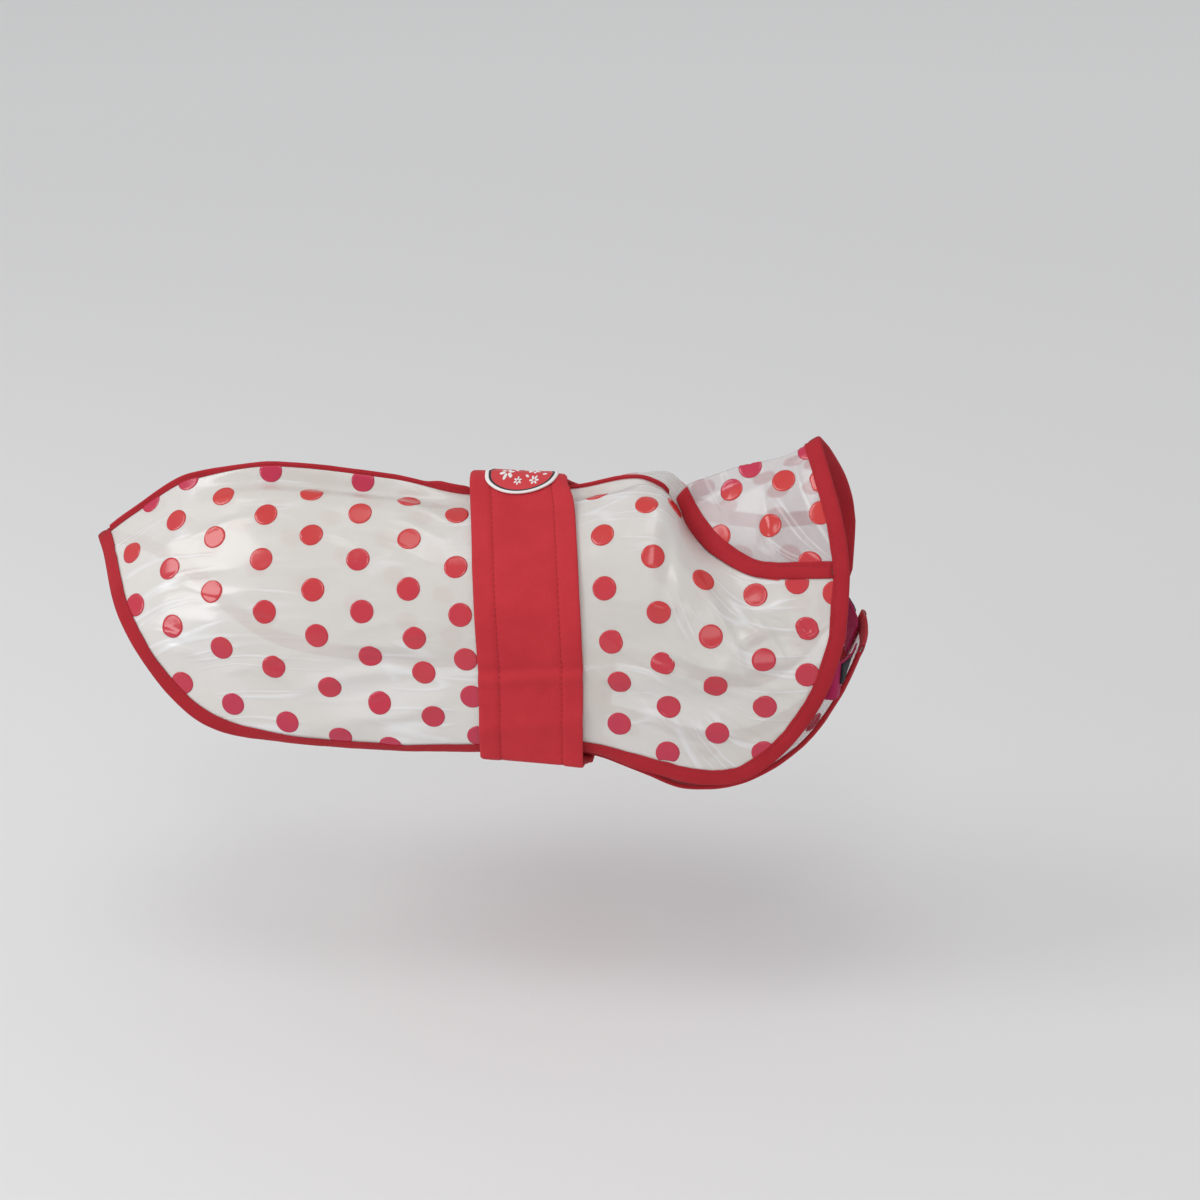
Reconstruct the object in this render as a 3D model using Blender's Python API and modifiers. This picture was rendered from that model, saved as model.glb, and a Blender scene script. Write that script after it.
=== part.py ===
"""Dog raincoat: two clear film panels joined along the back, a folded collar, a belt and a chest bib.

The coat keeps the hollow form it has when worn.  Lengths below are millimetres; the meshes are
written in metres.  +X points to the neck, +Z up, and the wearer's right side is -Y.  The origin is
on the inside of the back, under the middle of the belt, where the wearer's back carries the coat.

Every cloth piece is a wall made from an open surface with Solidify.  The body surface is a row of
cross-sections (BODY_SECTIONS), and a place on it is (x, s): the station along the back and the
distance measured down the cloth from its top edge, so (x, s) is nearly the flat pattern.
"""
import math

import bpy
import numpy as np

MM = 0.001

# Cloth thicknesses and the clearance between neighbouring pieces
FILM = 1.0
TAPE = 1.0
BELT_WALL = 1.5
GAP = 0.3

# Binding tape, folded round an edge
TAPE_WIDTH = 8.0
TAPE_STAND = FILM / 2 + GAP + TAPE / 2      # middle of the tape's leg above the middle of the film
TAPE_SHOULDER = 0.4                         # where the tape starts to turn, beyond the film's edge
TAPE_TURN = 0.95                            # middle of the tape's fold beyond the film's edge
MITRE_Y = 0.8                               # the two edge tapes end this far from the mirror plane
MITRE_LIMIT = 2.0                           # how much further a tape's fold reaches out at a sharp bend

# Main stations along the back
TAIL_X = -237.0
NECK_X = 83.0                               # where the back seam ends and the collar seam begins
FRONT_X = 175.5
SPINE_HALF_GAP = 0.65                       # from the mirror plane to the middle of a panel's top edge

# Belt
BELT_HALF_WIDTH = 27.5
BELT_EASE = 0.35                            # extra room between the belt and what it lies on
BELT_LEAN = 14.5                            # how far forward the belt runs between back and belly
BELT_LEAN_REACH = 120.0                     # distance down the cloth over which it does so
BELT_CREST_Z = 12.2                         # height of its stiff top, which runs level over the back
BELT_CREST_REACH = 19.0                     # distance down the cloth over which it comes to rest
BELT_TURN_Z = -127.2                        # where the belt turns under the belly
BELT_TURN = (
    # how far inward of the belt's side, and below BELT_TURN_Z, each row of the turn lies
    (0.6, 0.0),
    (3.4, 3.0),
    (9.0, 4.4),
)
BELT_SHOULDER = (4.0, 9.0, 16.0)            # close rows over the back, distances down the cloth
BELT_SIDE_START = 26.0                      # first of the even rows down the side
BELT_SIDE_ROWS = 12
BELT_HEM_Z = -120.2                         # height of the last of them
BELT_OVER_TAPE = (22.0, 8.0)                # distances above that row between which it lifts over the tape
BELLY_Z = -137.5                            # middle of the belt's upper layer under the belly
BELLY_FLAT = 36.0                           # half width of its flat stretch under the belly
OVERLAP_HALF = 30.0                         # how far each belt end runs past the middle
PATCH_HALF = (20.0, 26.0)                   # closure patch: half length along x, half length along y
PATCH_WALL = 1.2

# Badge on the belt
BADGE_RADII = (20.5, 13.0)
BADGE_WALL = 1.2
BADGE_STAND = BELT_WALL / 2 + GAP + BADGE_WALL / 2 + BELT_EASE
BADGE_RINGS, BADGE_SPOKES = 3, 28

# Back seam binding, which stands up as a fin
FIN_HALF = 1.2
FIN_HEIGHT = 4.6
FIN_ROUND = 0.6                             # bevel along its top
FIN_START = 2.5                             # clear of the tail's edge tape
FIN_END = 2.0                               # clear of the collar's binding
FIN_FILM_REACH = 1.5                        # where beside the seam the film under the fin is measured
FIN_STATIONS = 50

# Cross-sections of the body, a row for each station.  A section is two Bezier arcs: from the top
# edge, leaving at topSlope degrees below the horizontal, to the widest point, and from there to
# the lower end, arriving with a lean of hemLean degrees inward.  The fullness of the upper arc is
# its Bezier handle over its chord.  Past the neck station the top edge is the collar seam.
BODY_SECTIONS = (
    # x, topY, topZ, topSlope, fullness, sideY, sideZ, hemY, hemZ, hemLean
    (-242, 0.65, -41.0, 48, 0.39, 36, -98, 40, -140, 6),
    (-216, 0.65, -21.0, 48, 0.39, 47, -90, 50, -142, 8),
    (-182, 0.65, -1.4, 43, 0.39, 56, -84, 55, -144, 14),
    (-132, 0.65, 8.4, 37, 0.39, 61, -76, 55, -144, 26),
    (-70, 0.65, 3.6, 28, 0.39, 62, -70, 52, -144, 34),
    (-28, 0.65, -2.0, 14, 0.39, 62, -66, 53, -142, 30),
    (28, 0.65, 3.6, 10, 0.39, 63, -65, 58, -140, 14),
    (62, 0.65, 11.0, 2, 0.39, 64, -66, 63, -144, 2),
    (75, 0.65, 7.0, -16, 0.41, 64, -67, 64, -145, 0),
    (83, 0.65, -2.5, -31, 0.44, 64, -68, 64, -146, 0),
    (91, 11.0, -11.5, -14, 0.48, 64, -70, 64, -146, 0),
    (104, 24.0, -20.0, 4, 0.46, 63, -74, 63, -146, 2),
    (130, 38.0, -26.0, 50, 0.4, 60, -84, 60, -146, 4),
    (158, 41.8, -23.5, 72, 0.39, 56, -88, 57, -144, 2),
    (184, 43.8, -20.5, 80, 0.39, 52, -92, 53, -142, 0),
)
LOWER_FULLNESS = 0.36                       # Bezier handle over chord, below the widest point

# Finished lower edge of a panel in side view, from the tail corner round to the collar seam
PANEL_OUTLINE = (
    # x, z
    (-220.0, -57.0),
    (-203.0, -80.0),
    (-184.0, -103.0),
    (-162.0, -119.0),
    (-130.0, -126.0),
    (-70.0, -129.0),
    (0.0, -125.0),
    (40.0, -120.0),
    (75.0, -127.0),
    (108.0, -133.0),
    (131.0, -127.5),
    (152.0, -107.5),
    (167.0, -81.0),
    (175.0, -52.0),
)
TAIL_EDGE = (-230.5, 16.0)                  # (x, s) on the rear edge above the table's first row
FRONT_EDGE = (175.5, 10.0)                  # (x, s) on the front edge above the table's last row
TAIL_BAND = 6.4                             # the tape's width along x at the tail and at the front
FRONT_BAND = 7.8
LOWER_HEM_S = 120.0                         # the lower hem lies further down the cloth than this
REAR_CORNER_X = -150.0                      # where the rear edge hands over to the lower hem
FRONT_CORNER_X = 114.0                      # where the lower hem hands over to the front edge

# Folded collar: its crease and the arch of its front edge (right half, mirrored for the left)
COLLAR_CREASE = (
    # share of the way forward, lift above a straight line
    (0.0, 0.0),
    (0.12, 3.6),
    (0.25, 3.6),
    (0.42, 3.2),
    (0.6, 0.4),
    (0.8, -2.0),
    (1.0, 0.0),
)
CREASE_REACH = 0.3                          # share of the seam over which the crease dies out
COLLAR_ARCH = (
    # x, y, z
    (156.5, 0.0, 38.5),
    (158.0, 6.0, 34.8),
    (162.0, 15.5, 26.5),
    (169.0, 29.5, 9.5),
    (173.5, 38.0, -6.5),
    (175.5, 43.5, -20.5),
)
COLLAR_BACK = (84.5, 0.0, 0.5)              # the seam's point at the centre back
COLLAR_END = 0.955                          # share of the seam at which the collar film stops
COLLAR_TAPE_END = 0.878                     # share of the seam at which the collar's binding stops
COLLAR_IN_STEP = 0.8                        # share of the seam up to which film and tape go in step
COLLAR_TURN = (0.45, 0.75)                  # shares of the seam between which the tape's legs turn square
COLLAR_LIFT = 2.2                           # collar film's edge above the seam
COLLAR_LIFT_BACK = 1.6                      # added at the centre back, where the seam turns sharply
COLLAR_BOW = 3.0                            # how far the collar's sides bow out between their edges
COLLAR_BOW_SPAN = 80.0                      # the collar's length over the back, where they bow the most
COLLAR_BOW_RISE = 22.0                      # upward part of the bow's direction, beside the point's own y
BACK_TURN = 0.16                            # share of the seam over which the added lift dies out
SEAM_SPANS = 60                             # even spans along the collar seam
SEAM_SPANS_SKIPPED = 4                      # of them, replaced by one straight run to COLLAR_BACK
COLLAR_PROBE = 0.02                         # share of the seam each way over which its direction is taken
RULE_PROBE = 0.2                            # share of the way forward over which the cloth's own is taken
LEAST_SQUARE = 0.05                         # squared sine of the flattest angle allowed between the two
END_TAPE_SHARES = (0.25, 0.45)              # cells under the seam tape's place, beyond that tape's end
FRONT_TAPE_LIMITS = (
    # distance in from the front edge, least share of the way forward where the collar is short
    (TAPE_WIDTH, 0.55),
    (TAPE_WIDTH / 2, 0.75),
)

# Bib under the chest, side view of its bound edges from the belt up to the chest
BIB_SECTIONS = (
    # x, z, halfWidth, sag
    (26.0, -134.9, 30.0, 0.0),
    (46.0, -136.0, 31.0, 0.2),
    (72.0, -143.5, 34.0, 5.0),
    (95.0, -150.0, 35.0, 6.5),
    (125.0, -144.5, 34.0, 6.0),
    (153.0, -124.0, 32.0, 5.0),
    (171.0, -97.0, 30.0, 4.0),
    (183.0, -68.0, 29.0, 2.5),
)

BIB_TAPE_GAP = 1.5                          # between the bib's top tape and its side tapes

# Chest tabs that join the bib's top corners to the front edges
TAB_DROP = 20.0                             # width of the tab, which runs across
TAB_TOP_Z = -66.0
TAB_WALL = 1.0
TAB_STATIONS = (
    # x behind and beyond the front edge, extra depth under it
    (158.0, 0.0),
    (166.0, 0.4),
    (173.0, 1.2),
)
TAB_TOP_SHARE = 0.985                       # share of the bib's length at the tab's upper edge
TAB_SHARE_DROP = 0.085                      # and how much lower its lower edge is
TAB_ON_BIB = (26.0, 12.0)                   # distances from the middle between which it lies on the bib
TAB_RISE = 0.35                             # slope of the tab's offset from the bib
HOOK_INSET = 1.5                            # hook patch below the tab's upper edge
HOOK_HEIGHT = 13.0
HOOK_SPAN = (0.47, 0.66)                    # shares of the tab's length that the hook patch covers
TAB_PROBE = 0.02                            # share of it over which its direction is taken

# Largest folds, a row each in side view: from (x0, z0) to (x1, z1), half width and height.  A
# positive height is a ridge that stands out, a negative one a trough.
FOLD_ENDS = (0.08, 0.92)                    # shares of the fade's half wave at a fold's two ends
FOLDS_RIGHT = (
    # x0, z0, x1, z1, halfWidth, height
    (-118, -118, -30, -92, 8, 2.0),
    (-100, -100, -36, -80, 8, -1.5),
    (-66, -124, -28, -110, 6, 1.2),
    (-190, -52, -120, -62, 12, 1.5),
    (-212, -72, -160, -48, 11, -1.3),
    (-96, -36, -38, -44, 11, -1.2),
    (40, -74, 160, -64, 9, 2.0),
    (40, -90, 146, -82, 8, -1.7),
    (46, -52, 158, -46, 10, -1.5),
    (112, -62, 148, -32, 7, 1.5),
    (152, -34, 168, -66, 6, 1.3),
)
FOLDS_LEFT = (
    # x0, z0, x1, z1, halfWidth, height
    (-132, -114, -36, -96, 9, 1.8),
    (-92, -92, -38, -72, 8, -1.6),
    (-196, -58, -132, -56, 12, 1.5),
    (-176, -92, -136, -74, 10, -1.3),
    (42, -84, 140, -70, 9, 1.9),
    (40, -60, 150, -54, 10, -1.6),
    (116, -56, 150, -30, 7, 1.4),
    (54, -28, 90, -50, 9, -1.2),
)
FOLD_CLEAR_BELT = 12.0                      # folds fade in over this far from the belt's edge
FOLD_CLEAR_SEAM = 14.0                      # and over this far down from the top edge
FOLDS = {"right": FOLDS_RIGHT, "left": FOLDS_LEFT}
SIDE_SIGN = {"right": -1.0, "left": 1.0}

# Mesh fineness: cells along and down each surface
SPINE_CELLS = 27
SEAM_CELLS = 9
DOWN_CELLS = 13
SECTION_STEP = 1.0                          # spacing of the sampled sections, and of s along them
SECTION_REACH = 210
BELOW_CREST = 12                            # samples at a section's top, where the cloth may still rise
COLLAR_IN_STEP_ROWS = 27
BELLY_ROWS = 6
BELT_COLUMNS = 5
BIB_CELLS = 19
TAB_ROWS = 4
HOOK_ROWS, HOOK_COLUMNS = 3, 4


# ---------------------------------------------------------------- curves and surfaces

def smooth_columns(rows, at):
    """Values of every column of a table at the stations `at`, by monotone cubic interpolation."""
    table = np.array(rows, float)
    x, y = table[:, 0], table[:, 1:]
    step = np.diff(x)[:, None]
    slope = np.diff(y, axis=0) / step
    tangent = np.zeros_like(y)
    tangent[0], tangent[-1] = slope[0], slope[-1]
    same_way = slope[:-1] * slope[1:] > 0
    harmonic = 2 * slope[:-1] * slope[1:] / np.where(same_way, slope[:-1] + slope[1:], 1)
    tangent[1:-1] = np.where(same_way, harmonic, 0)
    at = np.clip(np.asarray(at, float), x[0], x[-1])
    cell = np.clip(np.searchsorted(x, at, side="right") - 1, 0, len(x) - 2)
    h = step[cell]
    t = ((at - x[cell]) / (x[cell + 1] - x[cell]))[:, None]
    return ((2 * t**3 - 3 * t**2 + 1) * y[cell] + (t**3 - 2 * t**2 + t) * h * tangent[cell]
            + (3 * t**2 - 2 * t**3) * y[cell + 1] + (t**3 - t**2) * h * tangent[cell + 1])


def smooth_curve(points, per_span=12):
    """Catmull-Rom curve through points of any dimension."""
    p = np.array(points, float)
    p = np.vstack([2 * p[0] - p[1], p, 2 * p[-1] - p[-2]])
    t = np.linspace(0, 1, per_span, endpoint=False)[:, None]
    spans = []
    for a, b, c, d in zip(p, p[1:], p[2:], p[3:]):
        spans.append(0.5 * (2 * b + (c - a) * t + (2 * a - 5 * b + 4 * c - d) * t**2
                            + (3 * b - a - 3 * c + d) * t**3))
    return np.vstack(spans + [p[-2][None]])


def resample(curve, shares):
    """Points at the given shares of a polyline's length."""
    length = np.r_[0, np.cumsum(np.linalg.norm(np.diff(curve, axis=0), axis=1))]
    return np.column_stack([np.interp(np.asarray(shares) * length[-1], length, c) for c in curve.T])


def bezier(p0, p1, p2, p3, count=28):
    t = np.linspace(0, 1, count)[:, None]
    return (1 - t)**3 * p0 + 3 * (1 - t)**2 * t * p1 + 3 * (1 - t) * t**2 * p2 + t**3 * p3


def unit(v):
    return v / max(np.linalg.norm(v), 1e-9)


def section_curve(top_y, top_z, top_slope, fullness, side_y, side_z, hem_y, hem_z, hem_lean):
    """One cross-section from its top edge to its lower end, sampled evenly along the cloth."""
    top, side, hem = np.array([top_y, top_z]), np.array([side_y, side_z]), np.array([hem_y, hem_z])
    slope, lean = math.radians(top_slope), math.radians(hem_lean)
    upper = fullness * np.linalg.norm(side - top)
    lower = LOWER_FULLNESS * np.linalg.norm(hem - side)
    leave = np.array([math.cos(slope), -math.sin(slope)])
    arrive = np.array([-math.sin(lean), -math.cos(lean)])
    down = np.array([0.0, -1.0])
    curve = np.vstack([bezier(top, top + upper * leave, side - upper * down, side)[:-1],
                       bezier(side, side + lower * down, hem - lower * arrive, hem)])
    length = np.r_[0, np.cumsum(np.linalg.norm(np.diff(curve, axis=0), axis=1))]
    at = np.arange(0, SECTION_REACH, SECTION_STEP)
    inside = np.column_stack([np.interp(at, length, c) for c in curve.T])
    beyond = np.maximum(at - length[-1], 0)[:, None]
    return inside + beyond * arrive


STATIONS = np.arange(BODY_SECTIONS[0][0], BODY_SECTIONS[-1][0] + 0.5, SECTION_STEP)
SECTIONS = np.array([section_curve(*row) for row in smooth_columns(BODY_SECTIONS, STATIONS)])


def plain_body(x, s):
    """(y, z) of the body surface without its folds, y counted away from the mirror plane."""
    i = np.clip((x - STATIONS[0]) / SECTION_STEP, 0, len(STATIONS) - 1.001)
    j = np.clip(s / SECTION_STEP, 0, SECTION_REACH - 1.001)
    i0, j0 = int(i), int(j)
    a, b = i - i0, j - j0
    return ((1 - a) * (1 - b) * SECTIONS[i0, j0] + a * (1 - b) * SECTIONS[i0 + 1, j0]
            + (1 - a) * b * SECTIONS[i0, j0 + 1] + a * b * SECTIONS[i0 + 1, j0 + 1])


def belt_centre(s):
    """Station of the belt's middle line at the distance s down the cloth."""
    return BELT_LEAN * math.sin(math.pi / 2 * min(s / BELT_LEAN_REACH, 1.0))


def fold_height(side, x, s):
    """Height of the folds at a place, fading out under the belt and at the back seam."""
    z = plain_body(x, s)[1]
    total = 0.0
    for x0, z0, x1, z1, half_width, height in FOLDS[side]:
        length = math.hypot(x1 - x0, z1 - z0)
        run_x, run_z = (x1 - x0) / length, (z1 - z0) / length
        share = ((x - x0) * run_x + (z - z0) * run_z) / length
        off = ((x - x0) * run_z - (z - z0) * run_x) / half_width
        fade = math.sin(math.pi * min(max(FOLD_ENDS[0] + (FOLD_ENDS[1] - FOLD_ENDS[0]) * share, 0), 1))
        total += height * fade * math.exp(-off * off)
    clear_of_belt = min(max((abs(x - belt_centre(s)) - BELT_HALF_WIDTH) / FOLD_CLEAR_BELT, 0), 1)
    clear_of_seam = min(s / FOLD_CLEAR_SEAM, 1)
    return total * clear_of_belt * clear_of_seam


def body_surface(side):
    """The panel's middle surface as a function of (x, s)."""
    sign = SIDE_SIGN[side]

    def bare(x, s):
        y, z = plain_body(x, s)
        return np.array([x, sign * y, z])

    def point(x, s):
        height = fold_height(side, x, s)
        if abs(height) < 1e-4:
            return bare(x, s)
        across = unit(np.cross(bare(x + 1, s) - bare(x - 1, s), bare(x, s + 1) - bare(x, max(s - 1, 0))))
        return bare(x, s) + sign * height * across

    return point


def frame_at(surface, a, b, steps, limits):
    """A point of a surface and its two tangents, taken just inside the surface's limits."""
    (a_low, a_high), (b_low, b_high) = limits
    ia = min(max(a, a_low + steps[0]), a_high - steps[0])
    ib = min(max(b, b_low + steps[1]), b_high - steps[1])
    along_a = (surface(ia + steps[0], ib) - surface(ia - steps[0], ib)) / (2 * steps[0])
    along_b = (surface(ia, ib + steps[1]) - surface(ia, ib - steps[1])) / (2 * steps[1])
    return surface(a, b), along_a, along_b


def normal_at(surface, place, steps, limits):
    _, along_a, along_b = frame_at(surface, *place, steps, limits)
    return unit(np.cross(along_a, along_b))


def walk(surface, place, direction, distance, steps, limits):
    """The place on a surface that lies the given distance from another, in a direction."""
    start, along_a, along_b = frame_at(surface, *place, steps, limits)
    target = start + distance * direction
    basis = np.column_stack([along_a, along_b])
    at = np.array(place, float)
    for _ in range(3):
        at = at + np.linalg.lstsq(basis, target - surface(*at), rcond=None)[0]
    return at


# ---------------------------------------------------------------- meshes

def new_object(name, vertices, faces, material, wall=None):
    mesh = bpy.data.meshes.new(name)
    mesh.from_pydata([tuple(float(c) * MM for c in v) for v in vertices], [], faces)
    mesh.validate()
    mesh.shade_smooth()
    mesh.materials.append(material)
    thing = bpy.data.objects.new(name, mesh)
    coat.objects.link(thing)
    if wall:
        shell = thing.modifiers.new("wall", "SOLIDIFY")
        shell.thickness = wall * MM
        shell.offset = 0.0
    return thing


def grid_faces(rows, columns, ring=False):
    """Quads of a grid of points; `ring` joins the last column to the first."""
    faces = []
    for i in range(rows - 1):
        for j in range(columns if ring else columns - 1):
            k = (j + 1) % columns
            faces.append((i * columns + j, (i + 1) * columns + j, (i + 1) * columns + k, i * columns + k))
    return faces


def sheet(name, grid, material, wall):
    """A cloth wall over a grid of middle points."""
    rows, columns = len(grid), len(grid[0])
    return new_object(name, [p for row in grid for p in row], grid_faces(rows, columns), material, wall)


def solid_loft(name, rings, material):
    """A closed solid through rings of equal count, with flat ends."""
    columns = len(rings[0])
    faces = grid_faces(len(rings), columns, ring=True)
    last = (len(rings) - 1) * columns
    faces.append(tuple(range(columns)))
    faces.append(tuple(last + j for j in reversed(range(columns))))
    return new_object(name, [p for ring in rings for p in ring], faces, material)


def folded_tape(surface, places, join, steps, limits):
    """Middle line of a tape folded round an edge, from its places (edge, near, far) on the film."""
    edge, near, far = [surface(*place) for place in places]
    up = [TAPE_STAND * normal_at(surface, place, steps, limits) for place in places]
    inward = near - edge
    inward = join * unit(inward - (inward @ unit(up[0])) * unit(up[0]))
    shoulder = edge - TAPE_SHOULDER * inward
    return [far + up[2], near + up[1], shoulder + up[0], edge - TAPE_TURN * inward,
            shoulder - up[0], near - up[1], far - up[2]]


def tape_rows(surface, rows, steps, limits):
    """Tape sections along an edge; where the edge bends, the fold reaches out as a mitred corner does."""
    edge = np.array([surface(*row[0]) for row in rows])
    run = np.diff(edge, axis=0)
    run /= np.linalg.norm(run, axis=1)[:, None]
    bend = np.r_[1.0, np.sum(run[1:] * run[:-1], axis=1), 1.0]
    joins = 1 / np.sqrt(np.maximum((1 + bend) / 2, 1 / MITRE_LIMIT**2))
    return [folded_tape(surface, row, join, steps, limits) for row, join in zip(rows, joins)]


def mitre(row, next_row, plane_y):
    """Slides a tape section along the tape until it lies in the plane y = plane_y."""
    out = []
    for point, following in zip(row, next_row):
        run = following - point
        share = (plane_y - point[1]) / run[1]
        out.append(point + share * run)
    return out


# ---------------------------------------------------------------- pattern outline

def s_at_height(x, z):
    """Distance down the cloth at which the body surface at x reaches the height z, below its crest."""
    heights = SECTIONS[int(round(np.clip(x - STATIONS[0], 0, len(STATIONS) - 1)))][BELOW_CREST:, 1]
    return float(np.interp(-z, -heights, np.arange(BELOW_CREST, SECTION_REACH) * SECTION_STEP))


def outline_on_pattern():
    """The panel's rear, lower and front edges as one curve of (x, s), tail corner to collar seam."""
    side_view = smooth_curve(PANEL_OUTLINE, 10)
    middle = [(x, s_at_height(x, z)) for x, z in side_view]
    lead_in = smooth_curve([(TAIL_X, 0.0), TAIL_EDGE, middle[0]], 6)[:-1]
    lead_out = smooth_curve([middle[-1], FRONT_EDGE, (FRONT_X, 0.0)], 6)[1:]
    return np.vstack([lead_in, middle, lead_out])


OUTLINE = outline_on_pattern()
OUTLINE_LENGTH = np.r_[0, np.cumsum(np.linalg.norm(np.diff(OUTLINE, axis=0), axis=1))]


def outline_share(x):
    """Share of the outline at which the lower hem passes the station x."""
    low = OUTLINE[:, 1] > LOWER_HEM_S
    return float(np.interp(x, OUTLINE[low, 0], OUTLINE_LENGTH[low])) / OUTLINE_LENGTH[-1]


REAR_SHARE = outline_share(REAR_CORNER_X)
FRONT_SHARE = outline_share(FRONT_CORNER_X)
BODY_STEPS = (1.0, 1.0)
BODY_LIMITS = ((STATIONS[0], STATIONS[-1]), (0.0, SECTION_REACH))


def seam_stations(count):
    """Stations x along the collar seam, evenly spaced along the seam itself."""
    xs = np.linspace(NECK_X, FRONT_X, 120)
    line = np.array([[x, *plain_body(x, 0)] for x in xs])
    return resample(line, np.linspace(0, 1, count + 1))[:, 0]


def top_stations():
    """Stations x along a panel's top edge inside its edge tape: back seam, then collar seam."""
    back = np.linspace(TAIL_X + TAIL_BAND, NECK_X, SPINE_CELLS + 1)
    seam = seam_stations(SEAM_CELLS)
    return np.r_[back[:-1], seam[:-1], FRONT_X - FRONT_BAND]


def edge_band(side):
    """Rows of places (edge, near, far) under the edge tape, from the tail corner to the collar."""
    surface = body_surface(side)
    across = top_stations()
    across = (across - across[0]) / (across[-1] - across[0])
    down = np.linspace(0, 1, DOWN_CELLS + 1)
    shares = np.r_[REAR_SHARE * down, REAR_SHARE + across[1:-1] * (FRONT_SHARE - REAR_SHARE),
                   FRONT_SHARE + (1 - FRONT_SHARE) * down]
    edge = resample(OUTLINE, shares)
    points = np.array([surface(*place) for place in edge])
    band = []
    for place, run in zip(edge, np.gradient(points, axis=0)):
        inward = unit(np.cross(run, normal_at(surface, place, BODY_STEPS, BODY_LIMITS)))
        band.append([place] + [walk(surface, place, inward, reach, BODY_STEPS, BODY_LIMITS)
                               for reach in (TAPE_WIDTH / 2, TAPE_WIDTH)])
    band = np.array(band)
    band[0, 1:] = (TAIL_X + TAIL_BAND / 2, 0), (TAIL_X + TAIL_BAND, 0)
    band[-1, 1:] = (FRONT_X - FRONT_BAND / 2, 0), (FRONT_X - FRONT_BAND, 0)
    return band


def panel_grid(band):
    """Places of one panel inside its edge tape: the four inner edges blended over the inside."""
    across = top_stations()
    top = np.column_stack([across, np.zeros_like(across)])
    across = (across - across[0]) / (across[-1] - across[0])
    down = np.linspace(0, 1, DOWN_CELLS + 1)
    rear = band[:DOWN_CELLS + 1, 2]
    hem = band[DOWN_CELLS:len(band) - DOWN_CELLS, 2]
    front = band[len(band) - DOWN_CELLS - 1:, 2][::-1]
    u, v = across[:, None, None], down[None, :, None]
    return ((1 - v) * top[:, None] + v * hem[:, None] + (1 - u) * rear[None] + u * front[None]
            - (1 - u) * (1 - v) * top[0] - u * (1 - v) * top[-1] - (1 - u) * v * hem[0] - u * v * hem[-1])


# ---------------------------------------------------------------- collar surface

SEAM_LINE = np.array([[x, y, z] for x in seam_stations(SEAM_SPANS) for y, z in [plain_body(x, 0)]])
SEAM_LINE = np.vstack([[COLLAR_BACK], SEAM_LINE[SEAM_SPANS_SKIPPED:]])
ARCH_LINE = smooth_curve(COLLAR_ARCH, 12)


def collar_surface(around, ahead):
    """Collar film: `around` runs from -1, right front, over the centre back to 1, left front."""
    share = [min(abs(around), 1.0)]
    back, front = resample(SEAM_LINE, share)[0], resample(ARCH_LINE, share)[0]
    point = (1 - ahead) * back + ahead * front
    reach = np.linalg.norm(front - back) / COLLAR_BOW_SPAN
    crease = float(smooth_columns(COLLAR_CREASE, [ahead])[0, 0]) * math.exp(-(around / CREASE_REACH)**2)
    bow = COLLAR_BOW * math.sin(math.pi * ahead) * math.sin(math.pi * min(abs(around), 1.0)) * reach
    out = np.array([0.0, point[1], COLLAR_BOW_RISE])
    point = point + np.array([0, 0, crease]) + bow * unit(out)
    return point * np.array([1, math.copysign(1.0, around), 1])


COLLAR_STEPS = (0.01, 0.01)
COLLAR_LIMITS = ((-1.0, 1.0), (-0.5, 1.0))


def collar_inset(around, seam_side, distance):
    """Share of the way forward that lies a distance in from the collar's seam or front edge."""
    at = 0.0 if seam_side else 1.0
    span = np.linalg.norm(collar_surface(around, 1.0) - collar_surface(around, 0.0))
    run = unit(collar_surface(around + COLLAR_PROBE, at) - collar_surface(around - COLLAR_PROBE, at))
    rule = unit(collar_surface(around, abs(at - RULE_PROBE)) - collar_surface(around, at))
    square = math.sqrt(max(1 - float(run @ rule)**2, LEAST_SQUARE))
    return abs(at - distance / square / span)


def collar_foot(around, inward=0.0):
    """Share of the way forward at which the collar film starts above the seam, or further in."""
    lift = COLLAR_LIFT + COLLAR_LIFT_BACK * math.exp(-(around / BACK_TURN)**2)
    return collar_inset(around, True, lift + inward)


def collar_leg(around, reach):
    """Place a distance in from the collar's lower edge: straight ahead, square to the edge at the ends."""
    def low(at):
        return collar_surface(at, collar_foot(at))

    foot = np.array([around, collar_foot(around)])
    ahead = np.array([around, collar_foot(around, reach)])
    turn = min(max((abs(around) - COLLAR_TURN[0]) / (COLLAR_TURN[1] - COLLAR_TURN[0]), 0), 1)
    if turn == 0 or reach == 0:
        return ahead if reach else foot
    normal = normal_at(collar_surface, foot, COLLAR_STEPS, COLLAR_LIMITS)
    inward = unit(np.cross(normal, low(around + COLLAR_STEPS[0]) - low(around - COLLAR_STEPS[0])))
    square_on = walk(collar_surface, foot, inward, reach, COLLAR_STEPS, COLLAR_LIMITS)
    return (1 - turn) * ahead + turn * square_on


COLLAR_ROWS = np.r_[-COLLAR_END, -COLLAR_TAPE_END,
                    np.linspace(-COLLAR_IN_STEP, COLLAR_IN_STEP, COLLAR_IN_STEP_ROWS),
                    COLLAR_TAPE_END, COLLAR_END]


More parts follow.
